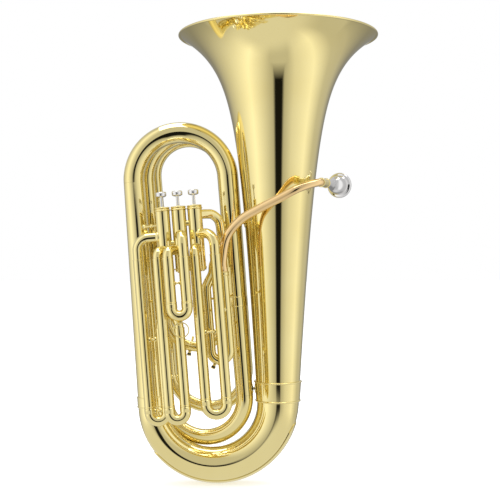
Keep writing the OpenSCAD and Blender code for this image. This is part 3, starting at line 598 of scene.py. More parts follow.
def bow(name, node, start, end, w, r0, r1, over, n=72):
    path = arch(start, end, w, over, n)
    sweep(name, node, path, [(0, r0), (length(path), r1)])


bow("second_bottom_bow_tube", "second_bottom_bow", LEG_2, LEG_3, LOW_2, R_LOW_2, R_LOW_3, False)
straight("third_branch_tube", "third_branch", LEG_3, LOW_2, TOP_2, R_LOW_3, R_TOP_3)
bow("second_top_bow_tube", "second_top_bow", LEG_3, LEG_4, TOP_2, R_TOP_3, R_TOP_4, True)
straight("fourth_branch_tube", "fourth_branch", LEG_4, LOW_3, TOP_2, R_LOW_4, R_TOP_4)
bow("third_bottom_bow_tube", "third_bottom_bow", LEG_4, LEG_5, LOW_3, R_LOW_4, R_LOW_5, False)
straight("fifth_branch_tube", "fifth_branch", LEG_5, LOW_3, TOP_3, R_LOW_5, R_TOP_5)
bow("third_top_bow_tube", "third_top_bow", LEG_5, LEG_6, TOP_3, R_TOP_5, R_TOP_6, True)

TUNE_W, TUNE_TOP = 162, 232
TUNE_CROOK = TUNE_W - 7.3
SLEEVE_R, INNER_R = 9.5, 8.75
sixth = curve(
    [at(*LEG_6, TOP_3), at(*LEG_6, 345), at(LEG_6[0] - 1, LEG_6[1] - 4, 312), at(70, 41, 272),
     at(TUNE_R[0] + 0.5, TUNE_R[1] + 2, 244), at(*TUNE_R, TUNE_TOP)], -40 * W, -40 * W, 12)
sweep("sixth_branch_tube", "sixth_branch", sixth, [(0, R_TOP_6), (length(sixth), R_LOW_6)])

# ---------- valves ----------

VALVE_V, PITCH, MID_U = -62, 29, -3
VALVE_U = (MID_U + PITCH, MID_U, MID_U - PITCH)
CASING_R, CASING_LOW, CASING_HIGH = 13, 250, 354
CAP_TOP, CAP_R = 362, 13.8
PORT_HIGH, PORT_LOW, OUTLET_W = 309, 283, 317
CYLINDER_R, STEM_R, BUTTON_R = 11.6, 2.6, 9.5
STROKE = 17
BUTTON_LOW = CAP_TOP + STROKE + 0.6
PISTON_HIGH = 346


def join(name, node, pieces):
    """Several meshes as one piece, for a CAD node that holds several solids."""
    if len(pieces) == 1:
        pieces[0].name = name
        return pieces[0]
    with bpy.context.temp_override(active_object=pieces[0], selected_editable_objects=pieces):
        bpy.ops.object.join()
    pieces[0].name = name
    return pieces[0]


def casing_axis(n, w=0.0):
    return at(VALVE_U[n], VALVE_V, w)


def button_edge(height, degrees):
    """A place on a finger button's rounded edge, whose round is centred at that height."""
    a = math.radians(degrees)
    return BUTTON_R - 1.8 + 1.8 * math.cos(a), BUTTON_LOW + height + 1.9 * math.sin(a)


casings, top_caps, bottom_caps = [], [], []
for n in range(3):
    shell = [
        (CYLINDER_R, CASING_LOW), (CASING_R, CASING_LOW), (CASING_R, CASING_HIGH),
        (CYLINDER_R, CASING_HIGH), (CYLINDER_R, CASING_LOW),
    ]
    casings.append(lathe(f"casing_{n + 1}", "valve_casings", casing_axis(n), W, shell, 96))
    cap = (
        [(STEM_R + 0.3, CAP_TOP - 2.2), (STEM_R + 0.3, CAP_TOP - 0.5), (STEM_R + 0.8, CAP_TOP)]
        + [(6.0, CAP_TOP), (7.0, CAP_TOP - 0.6), (CAP_R - 3.4, CAP_TOP - 0.9)]
        + turned_bead(CAP_TOP - 1.9, CAP_R - 1.6, 1.2, 1.4)[::-1]
        + [(CAP_R - 0.5, CASING_HIGH + 4.4)]
        + turned_bead(CASING_HIGH + 1.7, CAP_R - 1.0, 1.5, 1.55)[::-1]
        + [(CAP_R - 0.4, CASING_HIGH), (CYLINDER_R - 1, CASING_HIGH),
           (CYLINDER_R - 1, CASING_HIGH + 5), (STEM_R + 0.3, CASING_HIGH + 5)]
    )
    top_caps.append(lathe(f"cap_{n + 1}", "valve_top_caps", casing_axis(n), W, cap + [cap[0]],
                          144, knurl=(CAP_TOP - 3.0, CAP_TOP - 1.0, 36, 0.35)))
    foot = (
        [(2.0, CASING_LOW - 8), (CASING_R - 3.6, CASING_LOW - 8), (CASING_R - 3, CASING_LOW - 7.4),
         (CASING_R - 3, CASING_LOW - 6), (CASING_R - 0.3, CASING_LOW - 6),
         (CASING_R + 0.2, CASING_LOW - 5.5), (CASING_R + 0.2, CASING_LOW - 3)]
        + turned_bead(CASING_LOW - 1.5, CASING_R + 0.2, 1.4, 1.2)
        + [(CASING_R + 0.2, CASING_LOW), (CYLINDER_R - 1, CASING_LOW),
           (CYLINDER_R - 1, CASING_LOW - 5), (2.0, CASING_LOW - 5)]
    )
    bottom_caps.append(lathe(f"foot_{n + 1}", "valve_bottom_caps", casing_axis(n), W,
                             foot + [foot[0]], 144, knurl=(CASING_LOW - 5.6, CASING_LOW - 2.9, 36, 0.3)))
    button = (
        [(0, PISTON_HIGH - 4.8), (CYLINDER_R - 3, PISTON_HIGH - 4.8),
         (CYLINDER_R - 3, PISTON_HIGH - 2), (STEM_R, PISTON_HIGH - 1.6), (STEM_R, BUTTON_LOW - 1.2),
         (STEM_R + 0.6, BUTTON_LOW), (BUTTON_R - 3.4, BUTTON_LOW), (BUTTON_R - 2.0, BUTTON_LOW + 0.9)]
        + [button_edge(2.9, a) for a in range(-70, 1, 14)]
        + [button_edge(7.4, a) for a in range(0, 80, 13)]
        + [(BUTTON_R - 2.6, BUTTON_LOW + 9.5), (BUTTON_R - 3.6, BUTTON_LOW + 9.2),
           (4.0, BUTTON_LOW + 8.75), (0, BUTTON_LOW + 8.6)]
    )
    lathe(f"button_{n + 1}", f"finger_button_{n + 1}", casing_axis(n), W, button, 64)
join("casings", "valve_casings", casings)
join("top_caps", "valve_top_caps", top_caps)
join("bottom_caps", "valve_bottom_caps", bottom_caps)

KNUCKLE_R = 5.2
RISER_PORT_W = 344
KNUCKLE_W = (RISER_PORT_W - 14, 296)
knuckles = []
for n in range(2):
    a, b = casing_axis(n, KNUCKLE_W[n]), casing_axis(n + 1, KNUCKLE_W[n])
    way = unit(b - a)
    a, b = a + way * (CASING_R - 0.6), b - way * (CASING_R - 0.6)
    marks = [(0, KNUCKLE_R), (length([a, b]), KNUCKLE_R)]
    knuckles.append(sweep(f"knuckle_{n + 1}", "valve_knuckles", [a, (a + b) / 2, b], marks, sides=40,
                          saddles={0: (casing_axis(n), W, CASING_R - 0.05),
                                   -1: (casing_axis(n + 1), W, CASING_R - 0.05)}))
join("knuckles", "valve_knuckles", knuckles)


def port(name, node, n, to, w, down_to, r, bend_r, flange=1.0):
    """An elbow that leaves a casing sideways and turns down onto a slide leg."""
    start = np.array([VALVE_U[n], VALVE_V], float)
    to = np.array(to, float)
    way = unit(to - start)
    first = start + way * (CASING_R - 1.5)
    corner = to - way * bend_r
    out = [at(*first, w), at(*(start + way * (CASING_R + 3)), w), at(*corner, w)]
    for i in range(1, 33):
        a = math.pi / 2 * i / 32
        p = corner + way * bend_r * math.sin(a)
        out.append(at(*p, w - bend_r * (1 - math.cos(a))))
    out.append(at(*to, down_to))
    total = length(out)
    marks = [(0, r + flange), (1.6, r + flange), (2.6, r + 0.25 * flange), (3.6, r), (total, r)]
    return sweep(name, node, out, marks, saddles={0: (at(*start, 0), W, CASING_R - 0.05)})


SLEEVE_TOP = 271
S1 = ((21, -92), (57.6, -92))
S2 = ((-24.7, -112), (2.5, -112))
S3_OUT = ((-82, VALVE_V), (-52, VALVE_V))
S3_IN = ((-44, -92), (-16, -92))
CROOK_1, CROOK_2, CROOK_3_OUT, CROOK_3_IN = 6, 181, -6, -3
LINK_W, LINK_R = 146, 8.3
port("valve_outlet_tube", "valve_outlet", 2, TUNE_L, OUTLET_W, TUNE_TOP, SLEEVE_R, 26)
for node, n, legs, bends in (
    ("slide_1_ports", 0, (S1[1], S1[0]), (22, 11)),
    ("slide_2_ports", 1, (S2[1], S2[0]), (16, 11)),
    ("slide_3_ports", 2, (S3_OUT[0], S3_IN[0]), (22, 11)),
):
    pair = [
        port(f"{node}_{i}", node, n, legs[i], (PORT_HIGH, PORT_LOW)[i], SLEEVE_TOP, INNER_R, bends[i])
        for i in range(2)
    ]
    join(node + "_tubes", node, pair)


def sleeve(name, node, uv, low, high):
    """An outer slide tube, with a stop ring below and a turned lip above."""
    marks = [(0, SLEEVE_R + 0.15), (0.3, SLEEVE_R + 0.5), (2.2, SLEEVE_R + 0.5), (2.5, SLEEVE_R + 0.15),
             (2.52, SLEEVE_R), (high - low - 2, SLEEVE_R), (high - low - 1.98, SLEEVE_R + 0.2),
             (high - low - 1.7, SLEEVE_R + 0.35), (high - low - 0.3, SLEEVE_R + 0.35),
             (high - low, SLEEVE_R - 0.1)]
    return sweep(name, node, leg(uv, low, high, 6), marks, wall=SLEEVE_WALL)


def rod(name, node, a, b, ra, rb, r, axis=W):
    """A cross bar whose turned feet spread onto the two tubes it joins."""
    a, b = np.array(a, float), np.array(b, float)
    way = unit(b - a)
    p, q = a + way * (ra - 0.4), b - way * (rb - 0.4)
    n = np.linalg.norm(q - p)
    f = 2.2 * r
    foot = [(0, f), (1.4, f), (1.9, 0.8 * f), (2.8, 0.62 * f), (4.0, 1.12 * r), (5.5, r)]
    scale = min(1.0, 0.45 * n / 5.5)
    foot = [(d * scale, x) for d, x in foot]
    mid = bead(n / 2, r, min(2.2, n * 0.1), 0.5 * r) if n > 16 else []
    marks = foot + mid + [(n - d, x) for d, x in reversed(foot)]
    return sweep(name, node, [p, (p + q) / 2, q], marks, solid=True, sides=36,
                 saddles={0: (a, axis, ra - 0.3), -1: (b, axis, rb - 0.3)})


STOP_RING = 9


def pull_slide(name, node, legs, w, tube_top):
    """Two inner tubes, their stop ferrules and the crook."""
    path = u_path(legs, w, tube_top, tube_top)
    whole, end = length(path), tube_top - w
    start = end - STOP_RING
    first = [(start, INNER_R), (start + 0.02, SLEEVE_R + 0.2), (start + 0.4, SLEEVE_R + 0.5),
             (end - 0.4, SLEEVE_R + 0.5), (end - 0.02, SLEEVE_R + 0.2), (end, SLEEVE_R)]
    second = [(whole - d, r) for d, r in reversed(first)]
    marks = [(0, INNER_R)] + first + second + [(whole, INNER_R)]
    return sweep(name, node, path, marks)


def slide_sleeves(name, node, parts, bars):
    pieces = [sleeve(f"{name}_{i}", node, *p) for i, p in enumerate(parts)]
    pieces += [
        rod(f"{name}_bar_{i}", node, at(*a, w), at(*b, w), SLEEVE_R, SLEEVE_R, r)
        for i, (a, b, w, r) in enumerate(bars)
    ]
    join(name, node, pieces)


slide_sleeves("first_slide_sleeves", "slide_1_sleeves",
              [(S1[0], CROOK_1 + 9.3, SLEEVE_TOP), (S1[1], CROOK_1 + 9.3, SLEEVE_TOP)],
              [(S1[0], S1[1], 134, 2.2)])
slide_sleeves("second_slide_sleeves", "slide_2_sleeves",
              [(S2[0], CROOK_2 + 9.3, SLEEVE_TOP), (S2[1], CROOK_2 + 9.3, SLEEVE_TOP)],
              [(S2[0], S2[1], 225, 1.6)])
slide_sleeves("third_slide_sleeves", "slide_3_sleeves",
              [(S3_OUT[0], CROOK_3_OUT + 9.3, SLEEVE_TOP), (S3_OUT[1], CROOK_3_OUT + 9.3, LINK_W),
               (S3_IN[0], CROOK_3_IN + 9.3, SLEEVE_TOP), (S3_IN[1], CROOK_3_IN + 9.3, LINK_W)],
              [(S3_OUT[0], S3_OUT[1], 126, 2.2), (S3_IN[0], S3_IN[1], 60, 1.8)])
slide_sleeves("main_slide_sleeves", "tuning_sleeves",
              [(TUNE_L, TUNE_W + 2, TUNE_TOP), (TUNE_R, TUNE_W + 2, TUNE_TOP)], [])
sweep("third_slide_link", "slide_3_link_bow",
      u_path((S3_OUT[1], S3_IN[1]), LINK_W, LINK_W - 0.5, LINK_W - 0.5, up=True), LINK_R)
pull_slide("first_slide_crook", "slide_1", S1, CROOK_1, CROOK_1 + 150)
pull_slide("third_slide_inner_crook", "slide_3_inner", S3_IN, CROOK_3_IN, CROOK_3_IN + 120)
OUTER_BAR_UP = 3.4
outer_crook = pull_slide("third_slide_outer_crook", "slide_3_outer", S3_OUT, CROOK_3_OUT, CROOK_3_OUT + 120)
outer_bar = rod("outer_bar", "slide_3_outer", at(*S3_OUT[0], CROOK_3_OUT + OUTER_BAR_UP),
                at(*S3_OUT[1], CROOK_3_OUT + OUTER_BAR_UP), SLEEVE_R + 0.4, SLEEVE_R + 0.4, 2.2)
join("third_slide_outer_crook", "slide_3_outer", [outer_crook, outer_bar])
pull_slide("main_tuning_crook", "tuning_slide", (TUNE_L, TUNE_R), TUNE_CROOK, TUNE_W + 62)

# the second slide's crook carries an eye, in which the pull ring hangs
crook_2 = pull_slide("second_slide_crook", "slide_2", S2, CROOK_2, CROOK_2 + 70)
RING_R, RING_WIRE, EYE_DROP = 13.2, 1.05, 2.2
eye_w = CROOK_2 - math.dist(*S2) / 2 - SLEEVE_R - EYE_DROP
eye = at((S2[0][0] + S2[1][0]) / 2, S2[0][1], eye_w)
eye_outline = [(1.25, -1.5), (2.3, -1.5), (2.6, -1.2), (2.6, 1.2), (2.3, 1.5), (1.25, 1.5)]
eye_piece = lathe("eye", "slide_2", eye, U, eye_outline + [eye_outline[0]], 40)
join("second_slide_crook", "slide_2", [crook_2, eye_piece])
ring_centre = eye - W * RING_R
circle = [ring_centre + RING_R * (math.cos(a) * U + math.sin(a) * W)
          for a in np.linspace(0, 2 * math.pi, 120, endpoint=False)]


def closed_ring(name, node, points, r, sides=28):
    n = len(points)
    ways = [unit(points[(i + 1) % n] - points[i - 1]) for i in range(n)]
    turn = np.linspace(0, 2 * math.pi, sides, endpoint=False)
    rows = []
    for p, t in zip(points, ways):
        side = unit(np.cross(t, V))
        rows.append(p + r * (np.outer(np.cos(turn), side) + np.outer(np.sin(turn), V)))
    pts = np.array(rows).reshape(-1, 3)
    faces = [
        (i * sides + k, ((i + 1) % n) * sides + k, ((i + 1) % n) * sides + (k + 1) % sides,
         i * sides + (k + 1) % sides)
        for i in range(n) for k in range(sides)
    ]
    return make_piece(name, node, pts, faces)


closed_ring("pull_ring_wire", "slide_2_pull_ring", circle, RING_WIRE)

# ---------- leadpipe ----------

LEAD_V, LEAD_R, LEAD_END_R = -65, 8.6, 6.9
LEAD_LEGS = ((36, LEAD_V), (69, LEAD_V))
LEAD_W, LEAD_JOINT = 96, 238
way_out = np.array(next(j["axis"] for j in frame["joints"] if j["name"] == "mouthpiece_pull"))
receiver_mouth = np.array([BELL_X + 84, -78, 552.0])
RECEIVER = 26
lead_top = receiver_mouth - RECEIVER * way_out
low_end = at(*LEAD_LEGS[1], LEAD_JOINT)
lead = curve(
    [lead_top, (BELL_X + 54, -112, 548), (BELL_X + 29, -116, 539), (BELL_X, -108, 524),
     (BELL_X - 34, -96, 507), (BELL_X - 68, -83, 487), (BELL_X - 93, -72, 457), low_end + 20 * W, low_end],
    -20 * way_out, -20 * W, 12)
sweep("leadpipe_tube", "leadpipe", lead, [(0, LEAD_END_R), (length(lead), LEAD_R)])
crook = u_path(LEAD_LEGS, LEAD_W, 205, LEAD_JOINT)
total = length(crook)
marks = [(0, LEAD_R), (total - 12, LEAD_R)] + bead(total - 7.2, LEAD_R, 0.9, 1.6) + [
    (total - 6.2, LEAD_R + 0.8), (total - 2.2, LEAD_R + 0.8)] + bead(total - 1.1, LEAD_R + 0.4, 1.0, 1.2)
sweep("leadpipe_crook_tube", "leadpipe_crook", crook, marks)
POST = (70, -40)
to_valve = unit([VALVE_U[0] - POST[0], VALVE_V - POST[1]])
valve_way = to_valve[0] * U + to_valve[1] * V
end = at(VALVE_U[0], VALVE_V, RISER_PORT_W) - (CASING_R + 0.6) * valve_way
riser = curve(
    [at(*LEAD_LEGS[0], 205), at(LEAD_LEGS[0][0] + 2, LEAD_V, 216), at(49.6, -62, 236),
     at(52, -57.5, 250), at(58, -50.5, 264), at(69, -41, 285), at(*POST, 308),
     at(67.5, -41.5, 330), at(57, -46, 342), end - 8 * valve_way, end],
    20 * W, 10 * valve_way, 12)
sweep("leadpipe_riser_tube", "leadpipe_riser", riser, LEAD_R,
      saddles={-1: (at(VALVE_U[0], VALVE_V, 0), W, CASING_R - 0.05)})
rec = (
    [(5.6, 0.0), (7.6, 0.0)]
    + turned_bead(1.6, 7.9, 1.5, 0.6)
    + [(7.9, RECEIVER - 4)] + turned_bead(RECEIVER - 2, 7.9, 2.0, 1.0)
    + [(6.4, RECEIVER), (6.4, 2.0), (5.6, 2.0)]
)
lathe("receiver", "mouthpiece_receiver", lead_top, way_out, rec + [rec[0]], 64)

# ---------- mouthpiece ----------

LIP, CUP = 92, 32
R_MP = 23
SHANK, SHANK_UP = 6.34, 3


def spline_outline(points, n=7):
    """A smooth outline through its corner points."""
    pts = [np.array(p, float) for p in points]
    pts = [2 * pts[0] - pts[1]] + pts + [2 * pts[-1] - pts[-2]]
    out = []
    for k in range(1, len(pts) - 2):
        a, b, c, d = pts[k - 1 : k + 3]
        for i in range(n):
            t = i / n
            out.append(tuple(0.5 * (2 * b + (c - a) * t + (2 * a - 5 * b + 4 * c - d) * t**2
                                    + (3 * b - a - 3 * c + d) * t**3)))
    return out + [tuple(pts[-2])]


shank = [(4.2, 0), (SHANK, 0), (SHANK, RECEIVER - 3)]
backbore = spline_outline([(SHANK, RECEIVER - 3), (6.9, RECEIVER + 12), (8.0, LIP - CUP - 14),
                           (7.8, LIP - CUP - 8), (10.0, LIP - CUP), (13.9, LIP - CUP + 7),
                           (15.6, LIP - CUP + 13), (16.8, LIP - 13), (17.3, LIP - 9.6)])
rim = spline_outline([(17.9, LIP - 8.6), (R_MP - 1.2, LIP - 7.0), (R_MP, LIP - 4.6), (R_MP - 0.1, LIP - 2.2),
                      (R_MP - 1.8, LIP - 0.5), (R_MP - 3.6, LIP), (R_MP - 5.4, LIP - 0.5),
                      (R_MP - 6.8, LIP - 2.4), (R_MP - 7.8, LIP - 8), (R_MP - 10.4, LIP - 20),
                      (R_MP - 14.8, LIP - 29), (4.3, LIP - 33), (4.2, LIP - 38)])
mp = shank + backbore[1:] + rim
lathe("mouthpiece_body_piece", "mouthpiece", lead_top + SHANK_UP * way_out, way_out, mp + [mp[0]], 96)

# ---------- braces ----------

# (place on one tube, place on the other, their radii, the bar's own)
bars = [
    (casing_axis(2, 330), at(*LEG_1, 330), CASING_R, R_TOP_1 + 1.6, 2.5),
    (at(*LEAD_LEGS[1], 170), at(*S1[1], 170), LEAD_R, SLEEVE_R, 1.8),
    (at(*LEAD_LEGS[0], 190), at(*TUNE_R, 190), LEAD_R, SLEEVE_R, 2),
    (at(*TUNE_L, 205), at(*LEG_3, 205), SLEEVE_R, R_TOP_3 + 0.6, 2),
    (at(*LEG_3, 300), at(*LEG_5, 300), R_TOP_3 + 0.5, R_TOP_5 + 0.5, 2),
    (at(*LEG_6, 370), at(*LEG_4, 370), R_TOP_6, R_TOP_4, 2),
    (at(*LEG_4, 120), at(*LEG_2, 120), R_LOW_4 + 0.2, R_LOW_2 + 1.2, 2),
]

BAR_R, PAD_R, PAD_T, FERRULE_SKIN = 1.5, 8, 1.2, 2.0
HIGH_BAR_W, LOW_BAR_W = 325.4, 17


def bell_brace(name, w, skin):
    """A thin bar from the second branch to the bell, with a round pad on each."""
    start = at(*LEG_2, w)
    body = mix(R_LOW_2, R_JOINT_2, (w - LOW_2) / (joint_w - LOW_2)) if w < joint_w else mix(
        R_JOINT_2, R_TOP_2, (w - joint_w) / (TOP - joint_w))
    stop = np.array([BELL_X, 0, start[2]])
    way = unit(stop - start)
    p, q = start + way * body, stop - way * (bell_r(start[2]) + skin)
    n = np.linalg.norm(q - p)
    pad = [(0, PAD_R), (0.5, PAD_R), (1.0, PAD_R - 0.6), (1.5, 3.4), (2.4, 2.1), (4.0, BAR_R)]
    marks = pad + bead(n / 2, BAR_R, 1.6, 0.7) + [(n - d, r) for d, r in reversed(pad)]
    on_branch, on_bell = {}, {}
    for i, lift in enumerate((-0.3, 0.8, PAD_T)):
        on_branch[i] = (start, W, body + lift)
        on_bell[-1 - i] = (stop, UP, lambda z, lift=lift: bell_r(z[2]) + skin + lift)
    return sweep(name, "body_braces", [p, (p + q) / 2, q], marks, solid=True, sides=48,
                 saddles={**on_branch, **on_bell})


join("braces", "body_braces",
     [rod(f"brace_{i}", "body_braces", *b) for i, b in enumerate(bars)]
     + [bell_brace("bell_brace_high", HIGH_BAR_W, 0),
        bell_brace("bell_brace_low", LOW_BAR_W, FERRULE_SKIN)])

# ---------- water keys ----------

NIPPLE_R, NIPPLE_H, NIPPLE_BORE = 3.2, 4.2, 2.0
PIVOT_OUT, PIVOT_R, POST_X, POST_T = 14, 0.9, 3.4, 1.6
CORK_R, CORK_H, LEVER_T = 3.9, 3.2, 1.4
LEAD_KEY_TURN, TUNING_KEY_TURN = -28, -16


def cut_plate(name, node, place, outline, x, t, edge=0.25):
    """A plate cut to an outline of (y, z) places, t thick around x, with eased edges."""
    pts = np.array(outline, float)
    n = len(pts)
    inward = []
    for i in range(n):
        e = unit(pts[(i + 1) % n] - pts[i - 1])
        inward.append(np.array([-e[1], e[0]]))
    inset = pts + edge * np.array(inward)
    points = []
    for way, shape in ((-t / 2, inset), (-t / 2 + edge, pts), (t / 2 - edge, pts), (t / 2, inset)):
        points += [place(x + way, y, z) for y, z in shape]
    faces = [tuple(range(n))[::-1], tuple(range(3 * n, 4 * n))]
    for layer in range(3):
        for i in range(n):
            a, b = layer * n + i, layer * n + (i + 1) % n
            faces.append((a, b, b + n, a + n))
    return make_piece(name, node, points, faces)


def strap(name, node, place, path, widths, t, edge=0.3):
    """A bent strap with eased edges. path: (y, z) places; widths: one for each of them."""
    path = np.array(path, float)
    slope = np.gradient(path, axis=0)
    points = []
    for p, e, w in zip(path, slope, widths):
        e = unit(e)
        up = np.array([-e[1], e[0]])
        section = [(-w / 2, -t / 2 + edge), (-w / 2 + edge, -t / 2), (w / 2 - edge, -t / 2),
                   (w / 2, -t / 2 + edge), (w / 2, t / 2 - edge), (w / 2 - edge, t / 2),
                   (-w / 2 + edge, t / 2), (-w / 2, t / 2 - edge)]
        points += [place(x, *(p + up * h)) for x, h in section]
    count, n = len(path), 8
    faces = strip_faces(0, count, n)
    faces += [tuple(range(n))[::-1], tuple(range((count - 1) * n, count * n))]
    return make_piece(name, node, points, faces)


def water_key(kind, legs, w, tube_r, turn):
    """A spit valve on a crook: nipple and posts on the tube, a lever with its cork below."""
    legs = np.array(legs, float)
    mid = legs.mean(axis=0)
    a = math.radians(-turn)
    x_way, z_way = math.cos(a) * U - math.sin(a) * W, math.sin(a) * U + math.cos(a) * W
    origin = at(*mid, w) - z_way * np.linalg.norm(legs[1] - legs[0]) / 2

    def place(x, y, z):
        return origin + x * x_way + y * V + z * z_way

    saddle, lever, cork = f"{kind}_key_saddle", f"{kind}_water_key", f"{kind}_key_cork"
    low = -tube_r - NIPPLE_H
    nipple = [(NIPPLE_BORE, low), (NIPPLE_R - 0.5, low), (NIPPLE_R, low + 0.5), (NIPPLE_R, low + 1.3),
              (NIPPLE_R - 0.4, low + 1.6), (NIPPLE_R - 0.4, -tube_r - 0.4), (NIPPLE_R + 0.5, -tube_r + 0.6),
              (NIPPLE_BORE, -tube_r + 0.6), (NIPPLE_BORE, low)]
    pieces = [lathe(f"{saddle}_nipple", saddle, origin, z_way, nipple, 40)]
    near = tube_r - 1.2
    post = [(near, -2.2), (PIVOT_OUT, -2.2)]
    post += [(PIVOT_OUT + 2.2 * math.sin(b), -2.2 * math.cos(b)) for b in np.linspace(0.3, math.pi - 0.3, 9)]
    post += [(PIVOT_OUT, 2.2), (near, 2.2)]
    pieces += [cut_plate(f"{saddle}_post_{i}", saddle, place, post, x, POST_T)
               for i, x in enumerate((-POST_X, POST_X))]
    join(f"{saddle}_piece", saddle, pieces)

    under = low - 0.05 - CORK_H - LEVER_T
    pin = [(0, -5), (PIVOT_R - 0.2, -5), (PIVOT_R, -4.8), (PIVOT_R, -2.3), (1.9, -2.3), (2.1, -2.1),
           (2.1, 2.1), (1.9, 2.3), (PIVOT_R, 2.3), (PIVOT_R, 4.8), (PIVOT_R - 0.2, 5), (0, 5)]
    cup = [(0, under), (3.9, under), (4.3, under + 0.4), (4.3, under + 1.9), (4.0, under + 2.0),
           (CORK_R, under + LEVER_T), (0, under + LEVER_T)]
    way = [(-1.0, under + 0.7), (3.0, under + 0.7), (PIVOT_OUT - 3.5, under + 0.8),
           (PIVOT_OUT - 0.8, under + 1.8), (PIVOT_OUT + 0.8, under + 4.4), (PIVOT_OUT + 0.9, -3.0),
           (PIVOT_OUT + 1.0, 1.0), (PIVOT_OUT + 2.4, 7.0), (PIVOT_OUT + 3.9, 13.0), (PIVOT_OUT + 4.8, 16.8)]
    bent = [tuple(p) for p in spline_outline(way, 6)]
    last = len(bent) - 1
    wide = [mix(3.0, 4.4, smooth(max(0.0, (i / last - 0.6) / 0.4))) for i in range(last + 1)]
    for i, cut in ((last, 1.8), (last - 1, 0.5)):
        wide[i] -= cut
    parts = [lathe(f"{lever}_pin", lever, place(0, PIVOT_OUT, 0), x_way, pin, 32),
             lathe(f"{lever}_cup", lever, origin, z_way, cup, 40),
             strap(f"{lever}_strap", lever, place, bent, wide, LEVER_T - 0.2)]
    join(f"{lever}_piece", lever, parts)
    top = under + LEVER_T + CORK_H
    lathe(f"{cork}_piece", cork, origin, z_way,
          [(0, under + LEVER_T + 0.02), (CORK_R - 0.1, under + LEVER_T + 0.02), (CORK_R - 0.05, top - 0.5),
           (CORK_R - 0.5, top), (0, top)], 40)


water_key("leadpipe", LEAD_LEGS, LEAD_W, LEAD_R, LEAD_KEY_TURN)
water_key("tuning", (TUNE_L, TUNE_R), TUNE_CROOK, SLEEVE_R, TUNING_KEY_TURN)

# ---------- studio ----------

FLOOR, FLOOR_LOW, FLOOR_GLOW = 12.0, 0.0005, 0.42
floor_mesh = bpy.data.meshes.new("floor")
floor_mesh.from_pydata(
    [(-FLOOR, -FLOOR, 0), (FLOOR, -FLOOR, 0), (FLOOR, FLOOR, 0), (-FLOOR, FLOOR, 0)], [], [(0, 1, 2, 3)])
floor = bpy.data.objects.new("floor", floor_mesh)
bpy.context.scene.collection.objects.link(floor)
floor.location = (0, 0, -FLOOR_LOW)
paper = bpy.data.materials.new("floor_paper")
paper.use_nodes = True
paper_shader = paper.node_tree.nodes["Principled BSDF"]
paper_shader.inputs["Base Color"].default_value = (0.92, 0.92, 0.92, 1)
paper_shader.inputs["Roughness"].default_value = 0.9
paper_shader.inputs["Emission Color"].default_value = (1, 1, 1, 1)
paper_shader.inputs["Emission Strength"].default_value = FLOOR_GLOW
floor_mesh.materials.append(paper)
floor.visible_glossy = False

# A pale round card under the object, seen only in the polished metal
CARD_R, CARD_FULL, CARD_LEVEL = 0.60, 0.55, 0.78
CARD_FORWARD, CARD_LOW, CARD_SIDES = 0.12, 0.0003, 96
card_mesh = bpy.data.meshes.new("under_card")
card_turn = [2 * math.pi * k / CARD_SIDES for k in range(CARD_SIDES)]
card_mesh.from_pydata(
    [(CARD_R * math.cos(a), CARD_R * math.sin(a), 0) for a in card_turn], [], [tuple(range(CARD_SIDES))])
glow = bpy.data.materials.new("card_paper")
glow.use_nodes = True
g = glow.node_tree
g.nodes.remove(g.nodes["Principled BSDF"])
card_place = g.nodes.new("ShaderNodeTexCoord")
shrink = g.nodes.new("ShaderNodeMapping")
shrink.inputs["Scale"].default_value = (1 / CARD_R, 1 / CARD_R, 1 / CARD_R)
link(g, card_place, "Object", shrink, "Vector")
round_fade = g.nodes.new("ShaderNodeTexGradient")
round_fade.gradient_type = "SPHERICAL"
link(g, shrink, "Vector", round_fade, "Vector")
soft = g.nodes.new("ShaderNodeMapRange")
soft.interpolation_type = "SMOOTHSTEP"
soft.inputs["From Max"].default_value = CARD_FULL
link(g, round_fade, "Fac", soft, "Value")
glowing = g.nodes.new("ShaderNodeEmission")
glowing.inputs["Strength"].default_value = CARD_LEVEL
clear = g.nodes.new("ShaderNodeBsdfTransparent")
blend = g.nodes.new("ShaderNodeMixShader")
link(g, soft, "Result", blend, "Fac")
link(g, clear, "BSDF", blend, 1)
link(g, glowing, "Emission", blend, 2)
link(g, blend, "Shader", g.nodes["Material Output"], "Surface")
card_mesh.materials.append(glow)
card = bpy.data.objects.new("under_card", card_mesh)
bpy.context.scene.collection.objects.link(card)
card.location = (0, -CARD_FORWARD, -CARD_LOW)
card.visible_camera = False
card.visible_diffuse = False
card.visible_shadow = False

# A white tent around the object, brighter at the front quarters, with a slit in front:
# (degrees to the right of the front, level)
TENT = [
    (-180, 0.25), (-152, 0.28), (-130, 0.56), (-66, 1.20), (-35, 0.80), (-13, 0.50), (-8, 0.01),
    (8, 0.01), (13, 0.50), (35, 0.82), (76, 1.10), (108, 0.62), (130, 0.56), (152, 0.28), (180, 0.25),
]
# The slit is (start, end of its fading, level past it) above the horizon, and below it
SLIT_ABOVE, SLIT_BELOW = (0.07, 0.12, 0.62), (-0.52, -0.72, 0.60)
bpy.context.scene.view_settings.view_transform = "Standard"
world = bpy.data.worlds.new("studio")
bpy.context.scene.world = world
world.use_nodes = True
t = world.node_tree
place = t.nodes.new("ShaderNodeTexCoord")
axes = t.nodes.new("ShaderNodeSeparateXYZ")
link(t, place, "Generated", axes, "Vector")
front = t.nodes.new("ShaderNodeMath")
front.operation = "MULTIPLY"
front.inputs[1].default_value = -1.0
link(t, axes, "Y", front, 0)
azimuth = t.nodes.new("ShaderNodeMath")
azimuth.operation = "ARCTAN2"
link(t, axes, "X", azimuth, 0)
link(t, front, "Value", azimuth, 1)
share = t.nodes.new("ShaderNodeMapRange")
share.inputs["From Min"].default_value = -math.pi
share.inputs["From Max"].default_value = math.pi
link(t, azimuth, "Value", share, "Value")
ramp = t.nodes.new("ShaderNodeValToRGB")
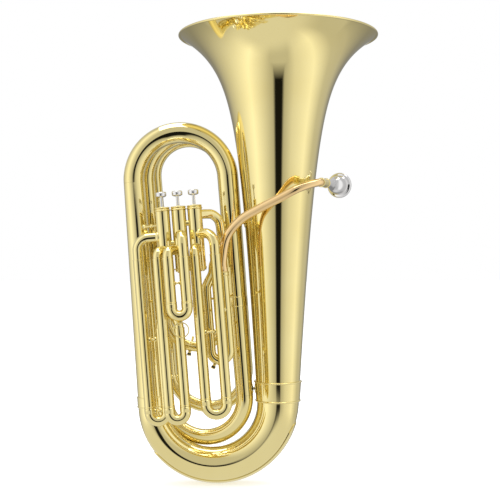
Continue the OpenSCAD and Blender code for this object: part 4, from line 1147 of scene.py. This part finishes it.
TENT_MAX = max(e for _, e in TENT)
for i, (degrees, e) in enumerate(TENT):
    spot = (degrees + 180) / 360
    grey = e / TENT_MAX
    if i < 2:
        stop = ramp.color_ramp.elements[i]
        stop.position = spot
    else:
        stop = ramp.color_ramp.elements.new(spot)
    stop.color = (grey, grey, grey, 1)
link(t, share, "Result", ramp, "Fac")
level = ramp
for start, gone, past in (SLIT_ABOVE, SLIT_BELOW):
    fade = t.nodes.new("ShaderNodeMapRange")
    fade.inputs["From Min"].default_value = start
    fade.inputs["From Max"].default_value = gone
    fade.inputs["To Max"].default_value = past / TENT_MAX
    link(t, axes, "Z", fade, "Value")
    brighter = t.nodes.new("ShaderNodeMath")
    brighter.operation = "MAXIMUM"
    link(t, level, 0, brighter, 0)
    link(t, fade, "Result", brighter, 1)
    level = brighter
background = t.nodes["Background"]
link(t, level, 0, background, "Color")
background.inputs["Strength"].default_value = TENT_MAX
seen = t.nodes.new("ShaderNodeBackground")
seen.inputs["Color"].default_value = (1, 1, 1, 1)
seen.inputs["Strength"].default_value = 1.0
path_kind = t.nodes.new("ShaderNodeLightPath")
choose = t.nodes.new("ShaderNodeMixShader")
link(t, path_kind, "Is Camera Ray", choose, "Fac")
link(t, background, "Background", choose, 1)
link(t, seen, "Background", choose, 2)
link(t, choose, "Shader", t.nodes["World Output"], "Surface")

OVERHEAD_SIZE, OVERHEAD_WATTS, OVERHEAD_AT = 2.6, 60, (0.1, 0.1, 3.0)
top_light = bpy.data.lights.new("overhead", "AREA")
top_light.shape = "RECTANGLE"
top_light.size, top_light.size_y = OVERHEAD_SIZE, OVERHEAD_SIZE
top_light.energy = OVERHEAD_WATTS
overhead = bpy.data.objects.new("overhead", top_light)
bpy.context.scene.collection.objects.link(overhead)
overhead.location = OVERHEAD_AT

# ---------- camera ----------

CAMERA_LEFT_OF_BELL, CAMERA_BACK, CAMERA_UP = 52, 1860, 433
SENSOR, LENS, FAR = 36, 72, 60
camera_data = bpy.data.cameras.new("camera")
camera_data.sensor_width = SENSOR
camera_data.lens = LENS
camera_data.clip_end = FAR
camera = bpy.data.objects.new("camera", camera_data)
bpy.context.scene.collection.objects.link(camera)
camera.location = ((BELL_X - CAMERA_LEFT_OF_BELL) * MM, -CAMERA_BACK * MM, CAMERA_UP * MM)
camera.rotation_euler = (math.radians(90), 0, 0)
bpy.context.scene.camera = camera
